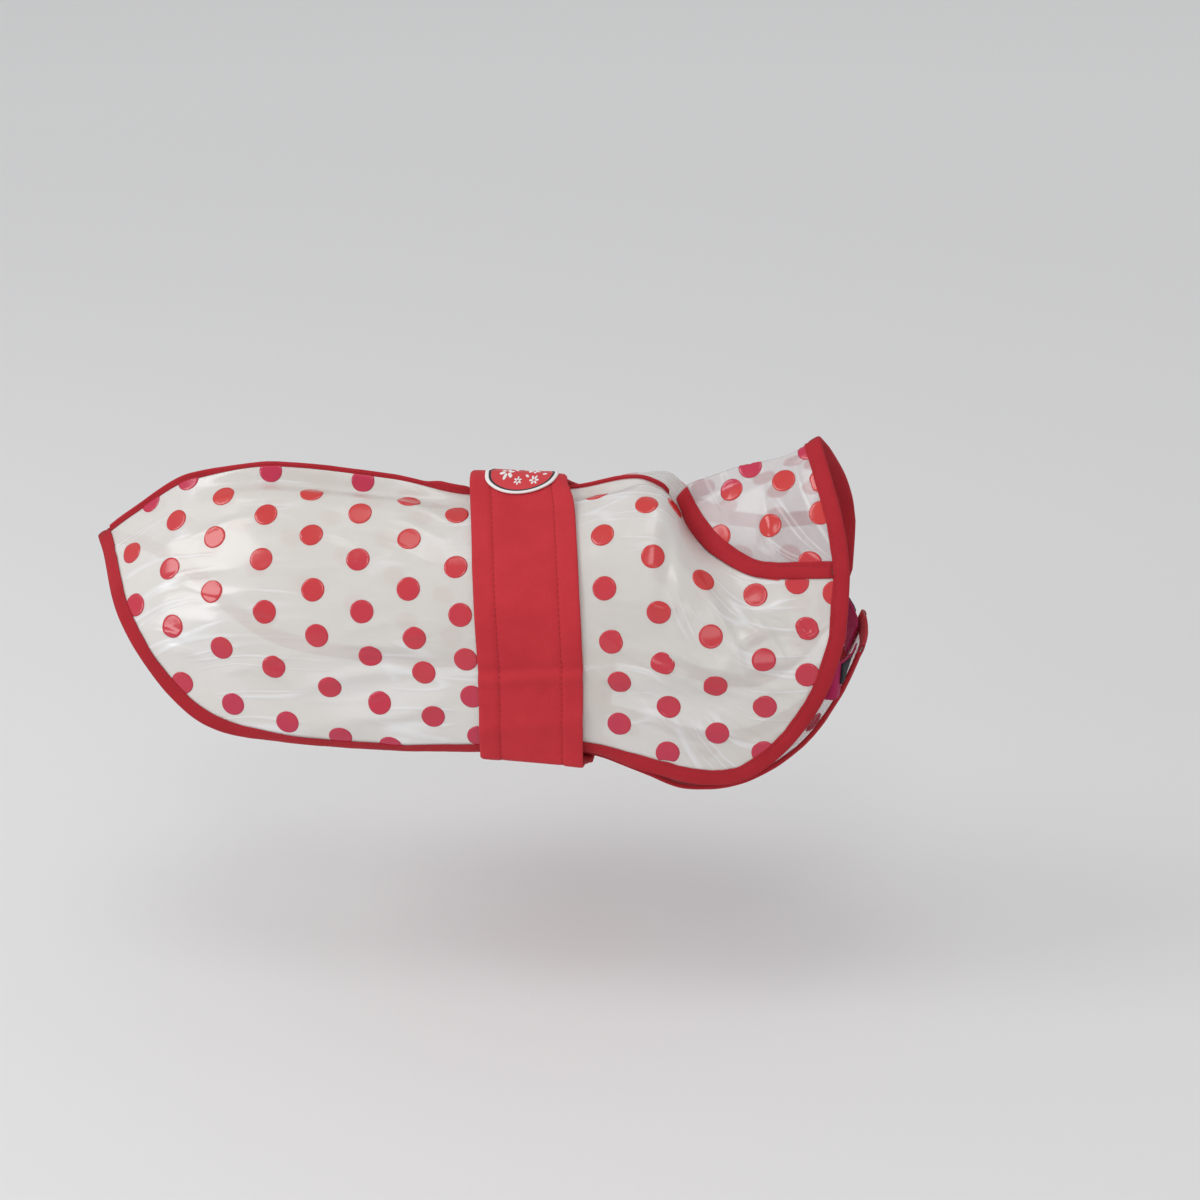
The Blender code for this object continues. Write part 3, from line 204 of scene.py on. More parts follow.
folds = {
    "big": {  # x0, z0, x1, z1, half width, height
        "right": [
            (-118, -118, -30, -92, 8, 2.0), (-100, -100, -36, -80, 8, -1.5),
            (-66, -124, -28, -110, 6, 1.2), (-190, -52, -120, -62, 12, 1.5),
            (-212, -72, -160, -48, 11, -1.3), (-96, -36, -38, -44, 11, -1.2), (40, -74, 160, -64, 9, 2.0),
            (40, -90, 146, -82, 8, -1.7), (46, -52, 158, -46, 10, -1.5), (112, -62, 148, -32, 7, 1.5),
            (152, -34, 168, -66, 6, 1.3),
        ],
        "left": [
            (-132, -114, -36, -96, 9, 1.8), (-92, -92, -38, -72, 8, -1.6),
            (-196, -58, -132, -56, 12, 1.5), (-176, -92, -136, -74, 10, -1.3),
            (42, -84, 140, -70, 9, 1.9), (40, -60, 150, -54, 10, -1.6), (116, -56, 150, -30, 7, 1.4),
            (54, -28, 90, -50, 9, -1.2),
        ],
    },
    "fine": {  # x0, s0, x1, s1, bow, half width, height: short crisp ones
        "right": [
            (46, 96, 150, 84, 5, 3.2, 0.9), (44, 104, 132, 101, -4, 2.6, -0.7),
            (48, 112, 118, 116, 3, 3.0, 0.8), (45, 88, 104, 78, -3, 2.6, 0.6),
            (96, 92, 158, 74, 4, 2.4, 0.7), (60, 70, 120, 60, 5, 4.0, 0.6),
            (118, 44, 152, 26, 4, 2.6, 0.9), (124, 54, 160, 40, -3, 2.2, -0.7),
            (112, 36, 140, 17, 3, 2.2, 0.7), (130, 62, 162, 58, 3, 2.4, 0.6),
            (96, 30, 124, 22, -3, 2.6, 0.6), (64, 20, 84, 34, 3, 3.2, 0.6),
            (142, 16, 158, 34, 2, 2.2, 0.7), (58, 130, 104, 138, -5, 3.4, 0.7),
            (48, 122, 84, 134, 3, 2.6, -0.5), (-112, 128, -34, 112, 6, 3.4, 0.9),
            (-96, 118, -40, 104, 4, 2.6, -0.7), (-82, 140, -34, 126, -4, 2.8, 0.8),
            (-60, 96, -34, 88, 2, 2.4, 0.6), (-150, 116, -104, 128, 5, 3.4, 0.7),
            (-176, 66, -128, 74, -4, 3.2, 0.7), (-206, 44, -170, 34, 4, 3.4, 0.6),
            (-130, 44, -84, 52, 5, 3.6, 0.5), (-100, 76, -52, 70, -4, 3.0, 0.5),
            (-74, 30, -36, 38, 3, 3.2, 0.6), (-190, 96, -160, 108, 3, 2.6, 0.6),
            (-140, 92, -110, 88, 2, 2.8, -0.5), (-226, 16, -206, 30, 2, 2.8, 0.6),
            (-60, 60, -36, 56, 2, 2.4, -0.4), (-70, 150, -36, 144, 2, 2.4, 0.5),
            (44, 92, 170, 70, 4, 1.7, 0.6), (44, 99, 150, 92, 3, 1.6, 0.6),
            (44, 107, 140, 112, -3, 1.7, 0.55), (44, 84, 128, 62, 4, 1.6, 0.5),
            (44, 76, 96, 54, 3, 1.6, 0.45), (70, 96, 158, 84, -3, 1.5, -0.45),
            (88, 42, 128, 58, 5, 1.8, 0.6), (120, 20, 146, 44, 3, 1.5, 0.6),
            (134, 18, 158, 30, 2, 1.4, 0.55), (110, 24, 136, 30, -2, 1.5, -0.5),
            (146, 34, 168, 20, -2, 1.4, 0.5), (100, 108, 150, 96, 3, 1.6, 0.5),
            (-150, 118, -38, 96, 7, 1.8, 0.75), (-120, 110, -60, 102, 4, 1.6, -0.55),
            (-104, 134, -50, 118, -4, 1.7, 0.6), (-206, 58, -150, 62, 5, 1.8, 0.55),
            (-188, 44, -132, 30, 4, 1.8, 0.5), (-128, 62, -70, 50, -4, 1.7, 0.5),
            (-96, 40, -40, 52, 4, 1.6, 0.5), (-90, 96, -38, 82, 3, 1.6, 0.5),
            (-168, 78, -110, 92, 5, 1.8, 0.55), (-204, 76, -170, 96, 3, 1.7, 0.5),
            (-150, 20, -96, 26, 3, 1.7, 0.45), (-70, 16, -34, 24, 2, 1.6, 0.45),
            (-126, 23, -32, 21, 0, 6.0, 0.8),
        ],
        "left": [
            (46, 90, 138, 98, -5, 3.2, 0.9), (44, 100, 120, 88, 4, 2.6, -0.7),
            (50, 118, 108, 110, 3, 3.0, 0.8), (44, 76, 98, 84, -3, 2.8, 0.6),
            (104, 72, 156, 88, 4, 2.4, 0.7), (70, 54, 126, 66, -5, 4.0, 0.6),
            (116, 22, 150, 48, 4, 2.6, 0.9), (128, 34, 160, 52, -3, 2.2, -0.7),
            (60, 26, 86, 18, 3, 3.2, 0.6), (62, 136, 112, 126, 5, 3.4, 0.7),
            (-116, 112, -36, 124, -6, 3.4, 0.9), (-92, 132, -38, 138, 4, 2.6, -0.7),
            (-64, 84, -34, 92, 2, 2.4, 0.6), (-158, 128, -112, 118, 5, 3.4, 0.7),
            (-180, 74, -134, 62, 4, 3.2, 0.7), (-208, 36, -168, 48, -4, 3.4, 0.6),
            (-126, 36, -86, 44, 4, 3.6, 0.5), (-104, 64, -58, 72, 4, 3.0, 0.5),
            (-72, 42, -38, 34, 3, 3.2, 0.6), (-192, 104, -164, 94, 3, 2.6, 0.6),
            (-144, 86, -112, 96, 2, 2.8, -0.5), (44, 98, 162, 80, 4, 1.7, 0.6),
            (44, 88, 142, 96, -3, 1.6, 0.55), (44, 110, 132, 104, 3, 1.7, 0.55),
            (44, 72, 112, 58, 4, 1.6, 0.5), (84, 48, 130, 36, 4, 1.8, 0.6),
            (122, 26, 150, 40, 3, 1.5, 0.6), (112, 28, 138, 20, -2, 1.5, -0.5),
            (96, 112, 148, 90, 3, 1.6, 0.5), (-146, 104, -38, 116, -6, 1.8, 0.7),
            (-118, 92, -58, 86, 4, 1.6, -0.5), (-204, 66, -148, 54, 5, 1.8, 0.55),
            (-184, 32, -130, 42, 4, 1.8, 0.5), (-124, 56, -66, 66, -4, 1.7, 0.5),
            (-92, 46, -40, 38, 4, 1.6, 0.5), (-166, 94, -108, 82, 5, 1.8, 0.5),
            (-146, 26, -92, 18, 3, 1.7, 0.45), (-68, 24, -34, 16, 2, 1.6, 0.45),
        ],
    },
    "fineWider": 1.15, "fineHigher": 1.4,
    "level": 100,  # depth under the top that fine creases are measured from
    "fade": 14,  # s at which they reach their full height
    "valleys": {  # x0, x1, depth of the dip beside the back seam, s at its bottom and at its end
        "right": [(-180, -26, 5.8, 8.5, 18.0), (24, 66, 4.0, 6.5, 14.5)],
        "left": [(-150, -26, 3.4, 7.0, 17.0), (24, 62, 2.8, 6.0, 14.5)],
    },
    "valleyStart": 0.5,
    "curlRear": (-168.0, -118.0), "curlFront": (44.0, 78.0), "curlBend": 0.031,
    "curlUp": 11.0, "curlRun": 16,  # it starts this far above the edge and grows over that far
}


def bandHeight(u, v, ends, bow, width, height, power=2.0, atEnds=0.08):
    # one soft ridge or trough along a bowed line, fading out at both ends
    u0, v0, u1, v1 = ends
    length = math.hypot(u1 - u0, v1 - v0)
    runU, runV = (u1 - u0) / length, (v1 - v0) / length
    share = ((u - u0) * runU + (v - v0) * runV) / length
    off = (u - u0) * runV - (v - v0) * runU - bow * np.sin(math.pi * np.clip(share, 0, 1))
    fade = np.sin(math.pi * np.clip(atEnds + (1 - 2 * atEnds) * share, 0, 1))
    return height * fade * np.exp(-np.abs(off / width)**power)


# how far down the cloth a fixed depth lies: creases are measured from it, so the neck doesn't shear them
fallen = np.arange(coat["crown"], coat["reach"])
levelAt = np.array([np.interp(folds["level"], -curve[coat["crown"]:, 1], fallen) for curve in sections])


def levelRun(x):
    return np.interp(x, stations, levelAt)


def foldHeight(side, x, s):
    z = plainBody(x, s)[1]
    total = np.zeros(np.broadcast(x, s).shape)
    for *ends, width, height in folds["big"][side]:
        total = total + bandHeight(x, z, ends, 0.0, width, height)
    down = s - levelRun(x)
    for x0, s0, x1, s1, bow, width, height in folds["fine"][side]:
        ends = (x0, s0 - levelRun(x0), x1, s1 - levelRun(x1))
        width, height = folds["fineWider"] * width, folds["fineHigher"] * height
        total = total + bandHeight(x, down, ends, bow, width, height)
    clearOfBelt = np.clip((np.abs(x - beltCentre(s)) - beltPath["half"]) / beltPath["clear"], 0, 1)
    total = total * clearOfBelt * np.clip(np.asarray(s, float) / folds["fade"], 0, 1)
    for x0, x1, depth, bottom, end in folds["valleys"][side]:
        along = np.sin(math.pi * np.clip((x - x0) / (x1 - x0), 0, 1))
        total = total - depth * along * ramp(s, folds["valleyStart"], bottom) * (1 - ramp(s, bottom, end))
    # the lower hem turns a little inward
    turned = ramp(x, *folds["curlRear"]) * (1 - ramp(x, *folds["curlFront"]))
    past = np.clip(s - np.interp(x, *hemPlaces.T) + folds["curlUp"], 0, folds["curlRun"])
    return total - turned * folds["curlBend"] * past**2


def bodySurface(side):
    sign = sideSign[side]

    def bare(x, s):
        y, z = plainBody(x, s)
        return np.stack([np.broadcast_to(x, y.shape), sign * y, z], axis=-1)

    def point(x, s):
        x, s = np.asarray(x, float), np.asarray(s, float)
        ahead, down = bare(x + 1, s) - bare(x - 1, s), bare(x, s + 1) - bare(x, np.maximum(s - 1, 0))
        return bare(x, s) + sign * foldHeight(side, x, s)[..., None] * unit(np.cross(ahead, down))

    return {"at": point, "steps": (1.0, 1.0), "low": (stations[0], 0.0),
            "high": (stations[-1], float(coat["reach"])), "out": sign}


def tangents(surface, a, b):
    ia = np.clip(a, surface["low"][0] + surface["steps"][0], surface["high"][0] - surface["steps"][0])
    ib = np.clip(b, surface["low"][1] + surface["steps"][1], surface["high"][1] - surface["steps"][1])
    da, db = surface["steps"]
    at = surface["at"]
    return (at(ia + da, ib) - at(ia - da, ib)) / (2 * da), (at(ia, ib + db) - at(ia, ib - db)) / (2 * db)


def outward(surface, a, b):
    alongA, alongB = tangents(surface, a, b)
    return surface["out"] * unit(np.cross(alongA, alongB))


def step(surface, a, b, move, rounds=5, damping=0.9, past=8):
    # the place on a surface reached from (a, b) by a small move in space
    target = surface["at"](a, b) + move
    for _ in range(rounds):
        alongA, alongB = tangents(surface, a, b)
        aa, ab, bb = (alongA * alongA).sum(-1), (alongA * alongB).sum(-1), (alongB * alongB).sum(-1)
        left = target - surface["at"](a, b)
        ma, mb = (left * alongA).sum(-1), (left * alongB).sum(-1)
        det = np.maximum(aa * bb - ab * ab, 1e-6)
        a, b = a + damping * (ma * bb - mb * ab) / det, b + damping * (mb * aa - ma * ab) / det
        a = np.clip(a, surface["low"][0], surface["high"][0])
        b = np.clip(b, surface["low"][1] - past * surface["steps"][1], surface["high"][1])
    return a, b


collar = {
    # share of the way forward, height over the straight line there
    "crest": [(0.0, 0.0), (0.1, 5.0), (0.25, 4.2), (0.42, 3.2), (0.6, 0.4), (0.8, -2.0), (1.0, 0.0)],
    "crestSpread": 0.3,
    # x, y, z of its front edge from the middle down to the panel's front
    "arch": [
        (156.5, 0.0, 38.5), (158.0, 6.0, 34.8), (162.0, 15.5, 26.5), (169.0, 29.5, 9.5),
        (173.5, 38.0, -6.5), (175.5, 43.5, -20.5),
    ],
    "back": (81.5, 0.0, 1.6),  # its lower back corner
    "seamPlaces": 61, "cornerPlaces": 4,
    "end": 0.955, "tapeEnd": 0.93,
    "lift": 0.8, "liftBack": -1.9, "liftSpread": 0.16,
    "bow": 3, "bowSpan": 80, "bowUp": 22.0,
    # around0, ahead0, around1, ahead1, half width, height
    "creases": [
        (-0.62, 0.30, -0.10, 0.62, 0.05, 1.2), (-0.75, 0.55, -0.22, 0.86, 0.045, -0.8),
        (-0.34, 0.12, -0.06, 0.40, 0.05, 0.9), (-0.50, 0.20, -0.30, 0.74, 0.05, 0.7),
        (-0.16, 0.50, -0.04, 0.92, 0.035, 0.8), (0.58, 0.26, 0.12, 0.66, 0.05, 1.2),
        (0.72, 0.50, 0.26, 0.80, 0.045, -0.8), (0.30, 0.16, 0.05, 0.36, 0.05, 0.9),
        (0.42, 0.24, 0.34, 0.80, 0.05, 0.7), (-0.88, 0.42, -0.58, 0.48, 0.05, 0.7),
    ],
    "power": 1.6,
    "across": 130, "ahead": 40, "wall": 0.4, "mapSize": 70,
    "tapeCount": 90, "squareFrom": 0.45, "squareBy": 0.3,  # its tape is cut square to the cloth beyond this
    # around, ahead of the middle of each dot
    "dots": [
        (-0.12, 0.34), (-0.18, 0.70), (-0.40, 0.44), (-0.50, 0.84), (-0.30, 0.12), (-0.74, 0.38),
        (-0.62, 0.10), (-0.80, 0.86), (-0.30, 0.93), (-0.02, 0.52), (-0.04, 0.92), (0.22, 0.50),
        (0.28, 0.14), (0.56, 0.18), (0.52, 0.68), (0.30, 0.86), (0.14, 0.78), (0.40, 0.44), (0.74, 0.46),
        (0.78, 0.88), (0.06, 0.16),
    ],
}
seamX = np.linspace(coat["neckX"], coat["frontX"], 240)
neckSeam = np.column_stack([seamX, *plainBody(seamX, 0)])
seamLine = resample(neckSeam, np.linspace(0, 1, collar["seamPlaces"]))[collar["cornerPlaces"]:]
seamLine = np.vstack([[collar["back"]], seamLine])
archLine = smoothCurve(collar["arch"], 24)
crestAhead = np.linspace(0, 1, 101)
crestLift = smoothColumns(collar["crest"], crestAhead)[:, 0]


def collarPoint(around, ahead):
    # around runs from -1 at the right front corner to 1 at the left, ahead from the seam to the front edge
    around, ahead = np.broadcast_arrays(np.asarray(around, float), np.asarray(ahead, float))
    share = np.minimum(np.abs(around), 1.0)
    back, front = resample(seamLine, share), resample(archLine, share)
    t = ahead[..., None]
    point = (1 - t) * back + t * front
    reach = np.linalg.norm(front - back, axis=-1) / collar["bowSpan"]
    crest = np.interp(ahead, crestAhead, crestLift) * np.exp(-(around / collar["crestSpread"])**2)
    bow = collar["bow"] * np.sin(math.pi * ahead) * np.sin(math.pi * share) * reach
    inside = np.sin(math.pi * np.clip(ahead, 0, 1))
    for *ends, width, height in collar["creases"]:
        bow = bow + bandHeight(around, ahead, ends, 0.0, width, height, collar["power"]) * inside
    out = unit(np.stack([np.zeros_like(bow), point[..., 1], np.full_like(bow, collar["bowUp"])], axis=-1))
    point = point + bow[..., None] * out
    point[..., 2] += crest
    point[..., 1] *= np.where(around < 0, -1.0, 1.0)
    return point


collarSurface = {"at": collarPoint, "steps": (0.01, 0.01), "low": (-1.0, -0.5), "high": (1.0, 1.0),
                 "out": -1.0}


def collarInset(around, seamSide, distance):
    # share of the way forward that lies a distance in from the collar's seam or front edge
    at = 0.0 if seamSide else 1.0
    span = np.linalg.norm(collarPoint(around, 1.0) - collarPoint(around, 0.0), axis=-1)
    run = unit(collarPoint(around + 0.02, at) - collarPoint(around - 0.02, at))
    rule = unit(collarPoint(around, abs(at - 0.2)) - collarPoint(around, at))
    square = np.sqrt(np.maximum(1 - (run * rule).sum(-1)**2, 0.05))
    return np.abs(at - distance / square / span)


def collarFoot(around, inward=0.0):
    lift = collar["lift"] + collar["liftBack"] * np.exp(-(around / collar["liftSpread"])**2)
    return collarInset(around, True, lift + inward)


bib = {
    # x, z, half width, sag
    "sections": [
        (26.0, -134.9, 30.0, 0.0), (46.0, -136.0, 31.0, 0.2), (72.0, -143.5, 34.0, 5.0),
        (95.0, -150.0, 35.0, 6.5), (125.0, -144.5, 34.0, 6.0), (153.0, -124.0, 32.0, 5.0),
        (171.0, -97.0, 30.0, 4.0), (183.0, -68.0, 29.0, 2.5),
    ],
    # share0, across0, share1, across1, half width, height
    "creases": [
        (0.12, -20, 0.42, -6, 5.0, 0.9), (0.30, 18, 0.62, 4, 5.0, -0.9), (0.48, -18, 0.80, -2, 5.0, 0.8),
        (0.70, 16, 0.95, 6, 4.0, 0.8), (0.20, 4, 0.36, 16, 4.0, 0.7),
    ],
    "power": 1.6, "plainRim": 12,
    "along": 90, "across": 34, "wall": 0.4,
    "tapeFrom": 0.03, "tapeGap": 0.3,
    # share, across of the middle of each dot
    "dots": [
        (0.10, -12), (0.16, 14), (0.27, -2), (0.36, -22), (0.38, 18), (0.48, -6), (0.57, 14), (0.62, -18),
        (0.70, 2), (0.80, -14), (0.84, 16), (0.93, 0),
    ],
}
bibLine = smoothCurve(bib["sections"], 24)
bibLength = float(runLength(bibLine[:, :2])[-1])


def bibPoint(share, across, near=0.02):
    # share runs from under the belt up to the breast
    share, across = np.broadcast_arrays(np.asarray(share, float), np.asarray(across, float))
    x, z, half, sag = np.moveaxis(resample(bibLine, share), -1, 0)
    before = resample(bibLine, np.maximum(share - near, 0))
    after = resample(bibLine, np.minimum(share + near, 1))
    run = unit((after - before)[..., :2])
    drop = sag * (1 - (across / half)**2)
    inside = np.clip((half - np.abs(across)) / bib["plainRim"], 0, 1)
    for a0, b0, a1, b1, width, height in bib["creases"]:
        ends = (bibLength * a0, b0, bibLength * a1, b1)
        drop = drop + bandHeight(bibLength * share, across, ends, 0.0, width, height, bib["power"]) * inside
    return np.stack([x + drop * run[..., 1], across, z - drop * run[..., 0]], axis=-1)


bibSurface = {"at": bibPoint, "steps": (0.005, 0.5), "low": (0.0, -60.0), "high": (1.0, 60.0), "out": -1.0}


def bibHalf(share):
    return resample(bibLine, share)[..., 2]


def addMesh(name, points, faces, material, clothMap=None):
    mesh = bpy.data.meshes.new(name)
    mesh.from_pydata((np.asarray(points) * mm).tolist(), [], [tuple(int(k) for k in f) for f in faces])
    if clothMap is not None:
        layer = mesh.uv_layers.new(name="clothMap")
        layer.data.foreach_set("uv", np.asarray(clothMap, np.float32).ravel())
    mesh.materials.append(material)
    mesh.shade_smooth()
    piece = bpy.data.objects.new(name, mesh)
    bpy.context.scene.collection.objects.link(piece)
    return piece


def gridFaces(rows, columns, ring=False):
    i, j = np.meshgrid(np.arange(rows - 1), np.arange(columns if ring else columns - 1), indexing="ij")
    k = (j + 1) % columns
    here, after = i * columns, (i + 1) * columns
    return np.stack([here + j, after + j, after + k, here + k], axis=-1)


def only(piece):
    bpy.ops.object.select_all(action="DESELECT")
    piece.select_set(True)
    bpy.context.view_layer.objects.active = piece


def faceOut(piece):
    only(piece)
    bpy.ops.object.mode_set(mode="EDIT")
    bpy.ops.mesh.select_all(action="SELECT")
    bpy.ops.mesh.normals_make_consistent(inside=False)
    bpy.ops.object.mode_set(mode="OBJECT")


def film(name, grid, mapping, wall, material):
    # a closed wall over a grid of middle points
    rows, columns = grid.shape[:2]
    faces = gridFaces(rows, columns).reshape(-1, 4)
    piece = addMesh(name, grid.reshape(-1, 3), faces, material, mapping.reshape(-1, 2)[faces])
    only(piece)
    shell = piece.modifiers.new("wall", "SOLIDIFY")
    shell.thickness, shell.offset = wall * mm, 0.0
    bpy.ops.object.modifier_apply(modifier=shell.name)
    faceOut(piece)
    return piece


def loft(name, rings, along, around, material):
    # rings of equal count joined to a closed piece, capped at both ends
    rows, columns = rings.shape[:2]
    faces = gridFaces(rows, columns, ring=True)
    u = np.broadcast_to(along[:, None], (rows, columns + 1))
    v = np.broadcast_to(around, (rows, columns + 1))
    uv = np.stack([u, v], axis=-1)
    loops = np.stack([uv[:-1, :-1], uv[1:, :-1], uv[1:, 1:], uv[:-1, 1:]], axis=2)
    last = (rows - 1) * columns
    caps = [tuple(range(columns)), tuple(last + j for j in reversed(range(columns)))]
    capMap = np.vstack([uv[0, :-1], uv[-1, :-1][::-1]])
    piece = addMesh(name, rings.reshape(-1, 3), list(faces.reshape(-1, 4)) + caps, material,
                    np.vstack([loops.reshape(-1, 2), capMap]))
    faceOut(piece)
    return piece


def noiseAlong(along, seed, size=1.0):
    # a slow uneven wobble along a tape, the same on every run
    waves = [(31.0, 0.5), (17.3, 0.3), (9.1, 0.2)]  # length, share
    turns = [along / span * 2 * math.pi + seed * (1.7 + n) for n, (span, _) in enumerate(waves)]
    return size * sum(part * np.sin(turn) for turn, (_, part) in zip(turns, waves))


def copies(name, template, faces, at, run, out, material):
    # small closed shapes set along a line: their x runs along it, z points out of the cloth
    side = np.cross(out, run)
    points = (at[:, None] + template[None, :, :1] * run[:, None] + template[None, :, 1:2] * side[:, None]
              + template[None, :, 2:] * out[:, None])
    firsts = np.arange(len(at))[:, None, None] * len(template)
    faces = (np.asarray(faces) + firsts).reshape(-1, len(faces[0]))
    return addMesh(name, points.reshape(-1, 3), faces, material)


def joined(name, pieces):
    bpy.ops.object.select_all(action="DESELECT")
    for piece in pieces:
        piece.select_set(True)
    bpy.context.view_layer.objects.active = pieces[0]
    bpy.ops.object.join()
    pieces[0].name = pieces[0].data.name = name
    faceOut(pieces[0])
    return pieces[0]


def newNode(tree, kind, inputs, **settings):
    # an input is a value, or the output of another node
    node = tree.nodes.new(f"ShaderNode{kind}")
    for key, value in settings.items():
        setattr(node, key, value)
    for socket, value in inputs.items():
        if isinstance(value, bpy.types.NodeSocket):
            tree.links.new(value, node.inputs[socket])
        else:
            node.inputs[socket].default_value = value
    return node


def newMaterial(name, colour, roughness, more=()):
    material = bpy.data.materials.new(name)
    material.use_nodes = True
    shader = material.node_tree.nodes["Principled BSDF"]
    shader.inputs["Base Color"].default_value = (*colour, 1.0)
    shader.inputs["Roughness"].default_value = roughness
    for socket, value in dict(more).items():
        shader.inputs[socket].default_value = value
    return material, material.node_tree, shader


def bumpFrom(tree, shader, height, strength, distance):
    bump = newNode(tree, "Bump", {"Height": height, "Strength": strength, "Distance": distance})
    tree.links.new(bump.outputs["Normal"], shader.inputs["Normal"])


def blendColours(tree, shader, share, low, high):
    blend = newNode(tree, "Mix", {0: share, 6: (*low, 1.0), 7: (*high, 1.0)}, data_type="RGBA")
    tree.links.new(blend.outputs[2], shader.inputs["Base Color"])


def rampColours(tree, shader, share, stops):
    blend = newNode(tree, "ValToRGB", {"Fac": share})
    for element, (position, colour) in zip(blend.color_ramp.elements, stops):
        element.position, element.color = position, (*colour, 1)
    tree.links.new(blend.outputs["Color"], shader.inputs["Base Color"])


filmLook = {
    "gloss": {"IOR": 1.5, "Coat Weight": 0.45, "Coat Roughness": 0.1},
    # slant and stretch of two families of pressed-in lines, which are bumped and also whitened as painted
    # highlight streaks, and how thin they are
    "lines": [(-0.16, (0.006, 0.045, 1.0), 0.03), (0.40, (0.008, 0.055, 1.0), 0.026)],
    "lineDetail": 0.6, "patchScale": (17.0, 60), "patches": (0.45, 0.6, 0.0, 1.0),
    "slow": (38.0, 3.0), "slowShare": 0.4, "lineShare": 0.28, "bump": (0.3, 0.004),
    "cloud": (13.0, 4.0), "cloudy": (0.42, 0.68, 0.0, 0.45), "milkAndPaintedHighlight": (0.90, 0.895, 0.89),
}


def filmMaterial(name, colour, alpha, roughness):
    # soft clear vinyl: milky, glossy and slowly uneven, with thin pressed-in lines that are bumped and
    # whitened in colour as painted highlight streaks
    look = filmLook
    material, tree, shader = newMaterial(name, colour, roughness, {**look["gloss"], "Alpha": alpha})
    place = newNode(tree, "TexCoord", {}).outputs

    def noise(source, scale, detail):
        return newNode(tree, "TexNoise", {"Vector": source, "Scale": scale, "Detail": detail}).outputs["Fac"]

    def combined(operation, first, second):
        return newNode(tree, "Math", {0: first, 1: second}, operation=operation).outputs[0]

    def spread(source, low, high, toLow, toHigh):
        limits = {"From Min": low, "From Max": high, "To Min": toLow, "To Max": toHigh}
        made = newNode(tree, "MapRange", {"Value": source, **limits}, interpolation_type="SMOOTHSTEP")
        return made.outputs["Result"]

    lines = []
    base, more = look["patchScale"]
    for slant, stretch, thin in look["lines"]:
        turn = newNode(tree, "Mapping", {"Vector": place["UV"], "Rotation": (0, 0, slant), "Scale": stretch})
        wave = combined("SUBTRACT", noise(turn.outputs["Vector"], 1.0, look["lineDetail"]), 0.5)
        line = spread(combined("ABSOLUTE", wave, 0.0), 0.0, thin, 1.0, 0.0)
        patch = spread(noise(place["Object"], base + more * thin, 1.0), *look["patches"])
        lines.append(combined("MULTIPLY", line, patch))
    creaseLinesAndPaintedGlints = combined("MAXIMUM", *lines)
    slow = combined("MULTIPLY", noise(place["Object"], *look["slow"]), look["slowShare"])
    height = combined("ADD", slow, combined("MULTIPLY", creaseLinesAndPaintedGlints, look["lineShare"]))
    bumpFrom(tree, shader, height, *look["bump"])
    cloud = spread(noise(place["Object"], *look["cloud"]), *look["cloudy"])
    # the pale colour is random milky tone where the cloud lies and painted highlight streaks along the
    # pressed-in lines
    blendColours(tree, shader, combined("MAXIMUM", cloud, creaseLinesAndPaintedGlints), colour, look["milkAndPaintedHighlight"])
    return material


inkLook = {
    "roughness": 0.2, "gloss": {"Alpha": 0.95, "Coat Weight": 0.45, "Coat Roughness": 0.1},
    "uneven": 22.0, "unevenBy": 0.16,
    "shadeToLitHeights": (-0.05, 0.08),  # heights, in metres, between which the painted shade gives way to the lit ink
    "shadeToLitOffsets": (0.004, 0.009),  # and distances from the back seam
}


def inkMaterial(name, litInk, shadedInk):
    # printed ink with painted shade: a darker, cooler crimson toward the hem and in the dip beside the back
    # seam
    material, tree, shader = newMaterial(name, litInk, inkLook["roughness"], inkLook["gloss"])
    place = newNode(tree, "TexCoord", {}).outputs["Object"]
    parts = newNode(tree, "SeparateXYZ", {"Vector": place}).outputs
    uneven = newNode(tree, "TexNoise", {"Vector": place, "Scale": inkLook["uneven"]}).outputs["Fac"]

    def within(source, limits):
        made = newNode(tree, "MapRange", {"Value": source, "From Min": limits[0], "From Max": limits[1]})
        return made.outputs["Result"]

    height = {0: uneven, 1: inkLook["unevenBy"], 2: parts["Z"]}
    height = newNode(tree, "Math", height, operation="MULTIPLY_ADD")
    sideways = newNode(tree, "Math", {0: parts["Y"]}, operation="ABSOLUTE")
    up, off = within(height.outputs[0], inkLook["shadeToLitHeights"]), within(sideways.outputs[0], inkLook["shadeToLitOffsets"])
    both = newNode(tree, "Math", {0: up, 1: off}, operation="MULTIPLY")
    # painted shade: the shaded ink colour low down and beside the back seam, the lit ink colour elsewhere
    blendColours(tree, shader, both.outputs[0], shadedInk, litInk)
    return material


clothLook = {
    "sheen": {"Specular IOR Level": 0.2, "Sheen Weight": 0.04, "Sheen Roughness": 0.5},
    "waves": 0.31416, "wave": {"Distortion": 0.4, "Detail": 1.0}, "bump": (0.35, 0.00025),
    "dye": {"Scale": 60.0, "Detail": 4.0}, "dyeRange": (0.3, 0.7),
}


